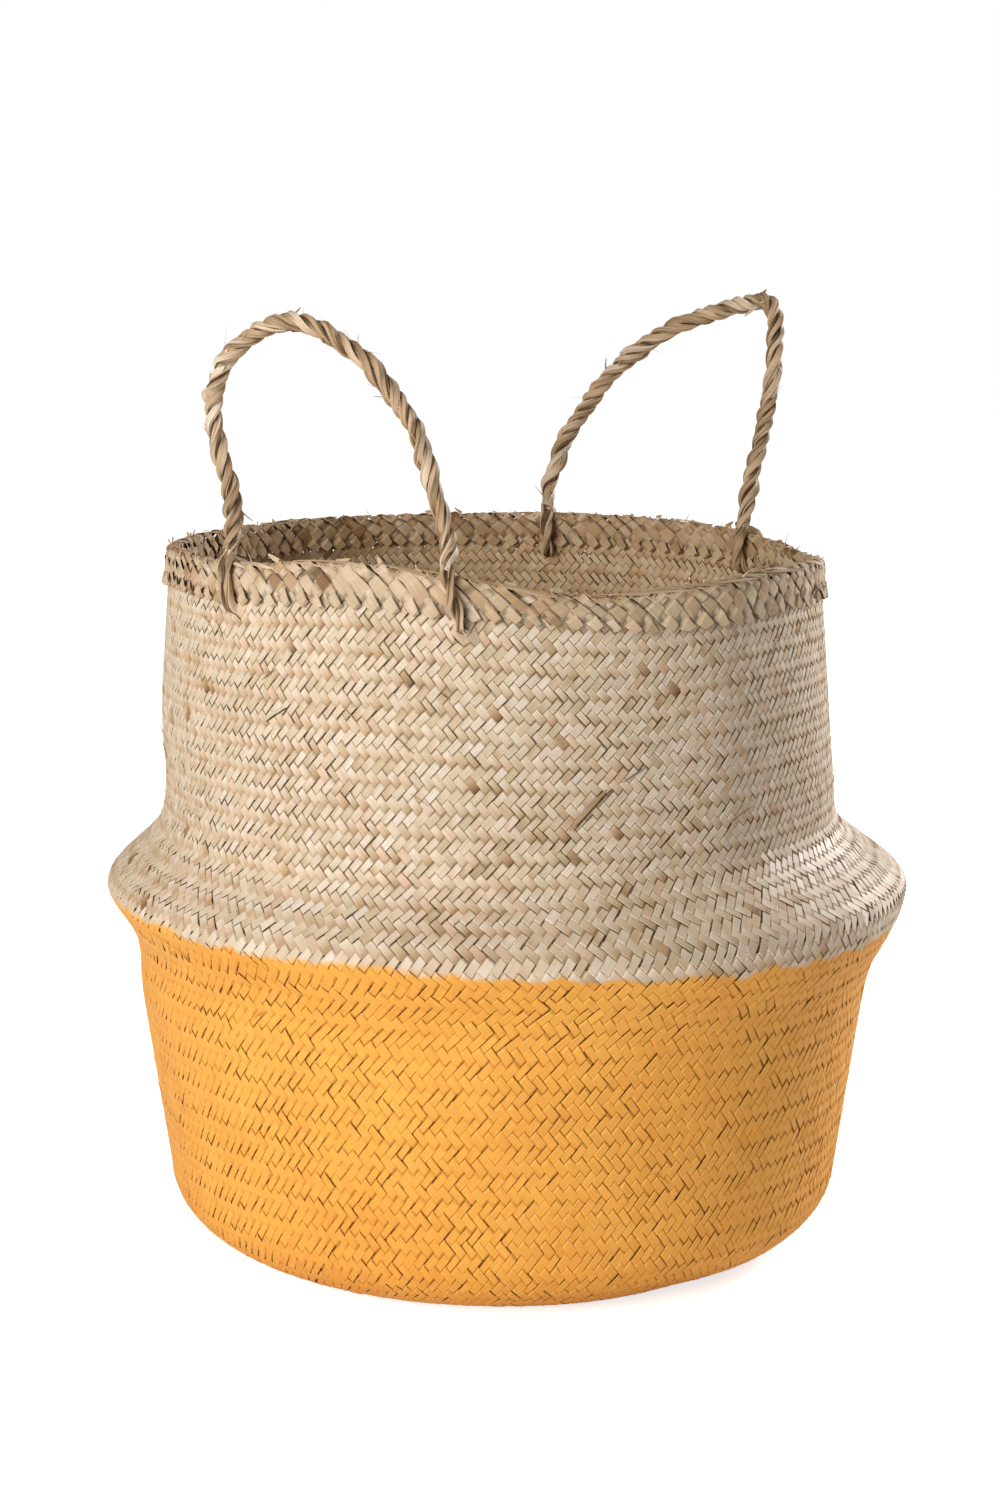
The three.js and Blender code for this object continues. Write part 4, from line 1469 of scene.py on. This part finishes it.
class BASKET_OT_stage(bpy.types.Operator):
    """Set up the floor, the soft lights and the camera of the photograph"""
    bl_idname = "basket.stage"
    bl_label = "Stage"

    def execute(self, context):
        scene = context.scene
        scene.view_settings.view_transform = "Standard"
        bm = bmesh.new()
        bmesh.ops.create_circle(bm, cap_ends=True, segments=64, radius=FLOOR_RADIUS)
        mesh = bpy.data.meshes.new("floor")
        bm.to_mesh(mesh)
        bm.free()
        floor = bpy.data.objects.new("floor", mesh)
        scene.collection.objects.link(floor)

        # Matt white card that the camera sees as plain white further off, with a faint shadow near the
        # basket
        material = bpy.data.materials.new("matt_white_card")
        tree = cleared_tree(material)
        seen = add_node(tree, "ShaderNodeLightPath", output="Is Camera Ray")
        card = add_node(tree, "ShaderNodeBsdfDiffuse", inputs={
            "Color": (FLOOR_GREY, FLOOR_GREY, FLOOR_GREY, 1)})
        place = add_node(tree, "ShaderNodeTexCoord", output="Object")
        away = add_node(tree, "ShaderNodeVectorMath", {"operation": "LENGTH"}, {0: place}, output="Value")
        fading = add_node(tree, "ShaderNodeMapRange", inputs={
            "Value": away, "From Min": FLOOR_NEAR[0], "From Max": FLOOR_FAR[0],
            "To Min": FLOOR_NEAR[1], "To Max": FLOOR_FAR[1]})
        strength = add_node(tree, "ShaderNodeMath", {"operation": "MULTIPLY"}, {0: seen, 1: fading})
        glow = add_node(tree, "ShaderNodeEmission", inputs={"Color": (1, 1, 1, 1), "Strength": strength})
        both = add_node(tree, "ShaderNodeAddShader", inputs={0: card, 1: glow})
        add_node(tree, "ShaderNodeOutputMaterial", inputs={"Surface": both})
        mesh.materials.append(material)

        scene.world = bpy.data.worlds.new("studio")
        tree = cleared_tree(scene.world)
        seen = add_node(tree, "ShaderNodeLightPath", output="Is Camera Ray")
        strength = add_node(tree, "ShaderNodeMapRange", inputs={
            "Value": seen, "To Min": WORLD_LIGHT, "To Max": 1.0})
        white = add_node(tree, "ShaderNodeBackground", inputs={"Color": (1, 1, 1, 1), "Strength": strength})
        add_node(tree, "ShaderNodeOutputWorld", inputs={"Surface": white})

        for name, (turn, height, distance, size, power) in SOFT_BOXES.items():
            lamp = bpy.data.lights.new(name, "AREA")
            lamp.size = size
            lamp.energy = power
            way = CAMERA_AZIMUTH + math.radians(turn)
            spot = Vector((distance * math.sin(way), -distance * math.cos(way), height))
            aim = (spot - Vector((0, 0, LAMP_AIM_HEIGHT))).to_track_quat("Z", "Y")
            light = bpy.data.objects.new(name, lamp)
            light.matrix_world = Matrix.Translation(spot) @ aim.to_matrix().to_4x4()
            scene.collection.objects.link(light)

        lens = bpy.data.cameras.new("photograph")
        lens.lens = CAMERA_LENS
        lens.sensor_width = CAMERA_SENSOR
        lens.clip_end = 50
        camera = bpy.data.objects.new("photograph", lens)
        camera.location = (
            CAMERA_DISTANCE * math.sin(CAMERA_AZIMUTH),
            -CAMERA_DISTANCE * math.cos(CAMERA_AZIMUTH),
            CAMERA_HEIGHT)
        camera.rotation_euler = (math.pi / 2 - CAMERA_PITCH, 0, CAMERA_TURN)
        scene.collection.objects.link(camera)
        scene.camera = camera
        return {"FINISHED"}


class BASKET_PT_sidebar(bpy.types.Panel):
    """Lists the basket's settings and pieces"""
    bl_idname = "BASKET_PT_sidebar"
    bl_label = "Rush Basket"
    bl_space_type = "VIEW_3D"
    bl_region_type = "UI"
    bl_category = "Basket"

    def draw(self, context):
        for group in (context.scene.basket_plait, context.scene.basket_rope, context.scene.basket_finish):
            column = self.layout.column(align=True)
            for key in group.__annotations__:
                column.prop(group, key)
        for operator in OPERATORS:
            self.layout.operator(operator.bl_idname)


SETTINGS = (PlaitSettings, RopeSettings, FinishSettings)
OPERATORS = (
    BASKET_OT_stage, BASKET_OT_handles, BASKET_OT_eyes, BASKET_OT_base, BASKET_OT_lower_wall,
    BASKET_OT_shoulder, BASKET_OT_upper_wall, BASKET_OT_border, BASKET_OT_frayed_ends, BASKET_OT_slivers,
)


def register():
    for item in (*SETTINGS, *OPERATORS, BASKET_PT_sidebar):
        bpy.utils.register_class(item)
    bpy.types.Scene.basket_plait = bpy.props.PointerProperty(type=PlaitSettings)
    bpy.types.Scene.basket_rope = bpy.props.PointerProperty(type=RopeSettings)
    bpy.types.Scene.basket_finish = bpy.props.PointerProperty(type=FinishSettings)


def unregister():
    del bpy.types.Scene.basket_finish
    del bpy.types.Scene.basket_rope
    del bpy.types.Scene.basket_plait
    for item in reversed((*SETTINGS, *OPERATORS, BASKET_PT_sidebar)):
        bpy.utils.unregister_class(item)


def main():
    register()
    bpy.ops.basket.stage()
    bpy.ops.basket.handles()
    bpy.ops.basket.eyes()
    bpy.ops.basket.base()
    bpy.ops.basket.lower_wall()
    bpy.ops.basket.shoulder()
    bpy.ops.basket.upper_wall()
    bpy.ops.basket.border()
    bpy.ops.basket.frayed_ends()
    bpy.ops.basket.slivers()
    for tube in TUBES.values():
        bpy.data.meshes.remove(tube[0])


if __name__ == "__main__":
    main()
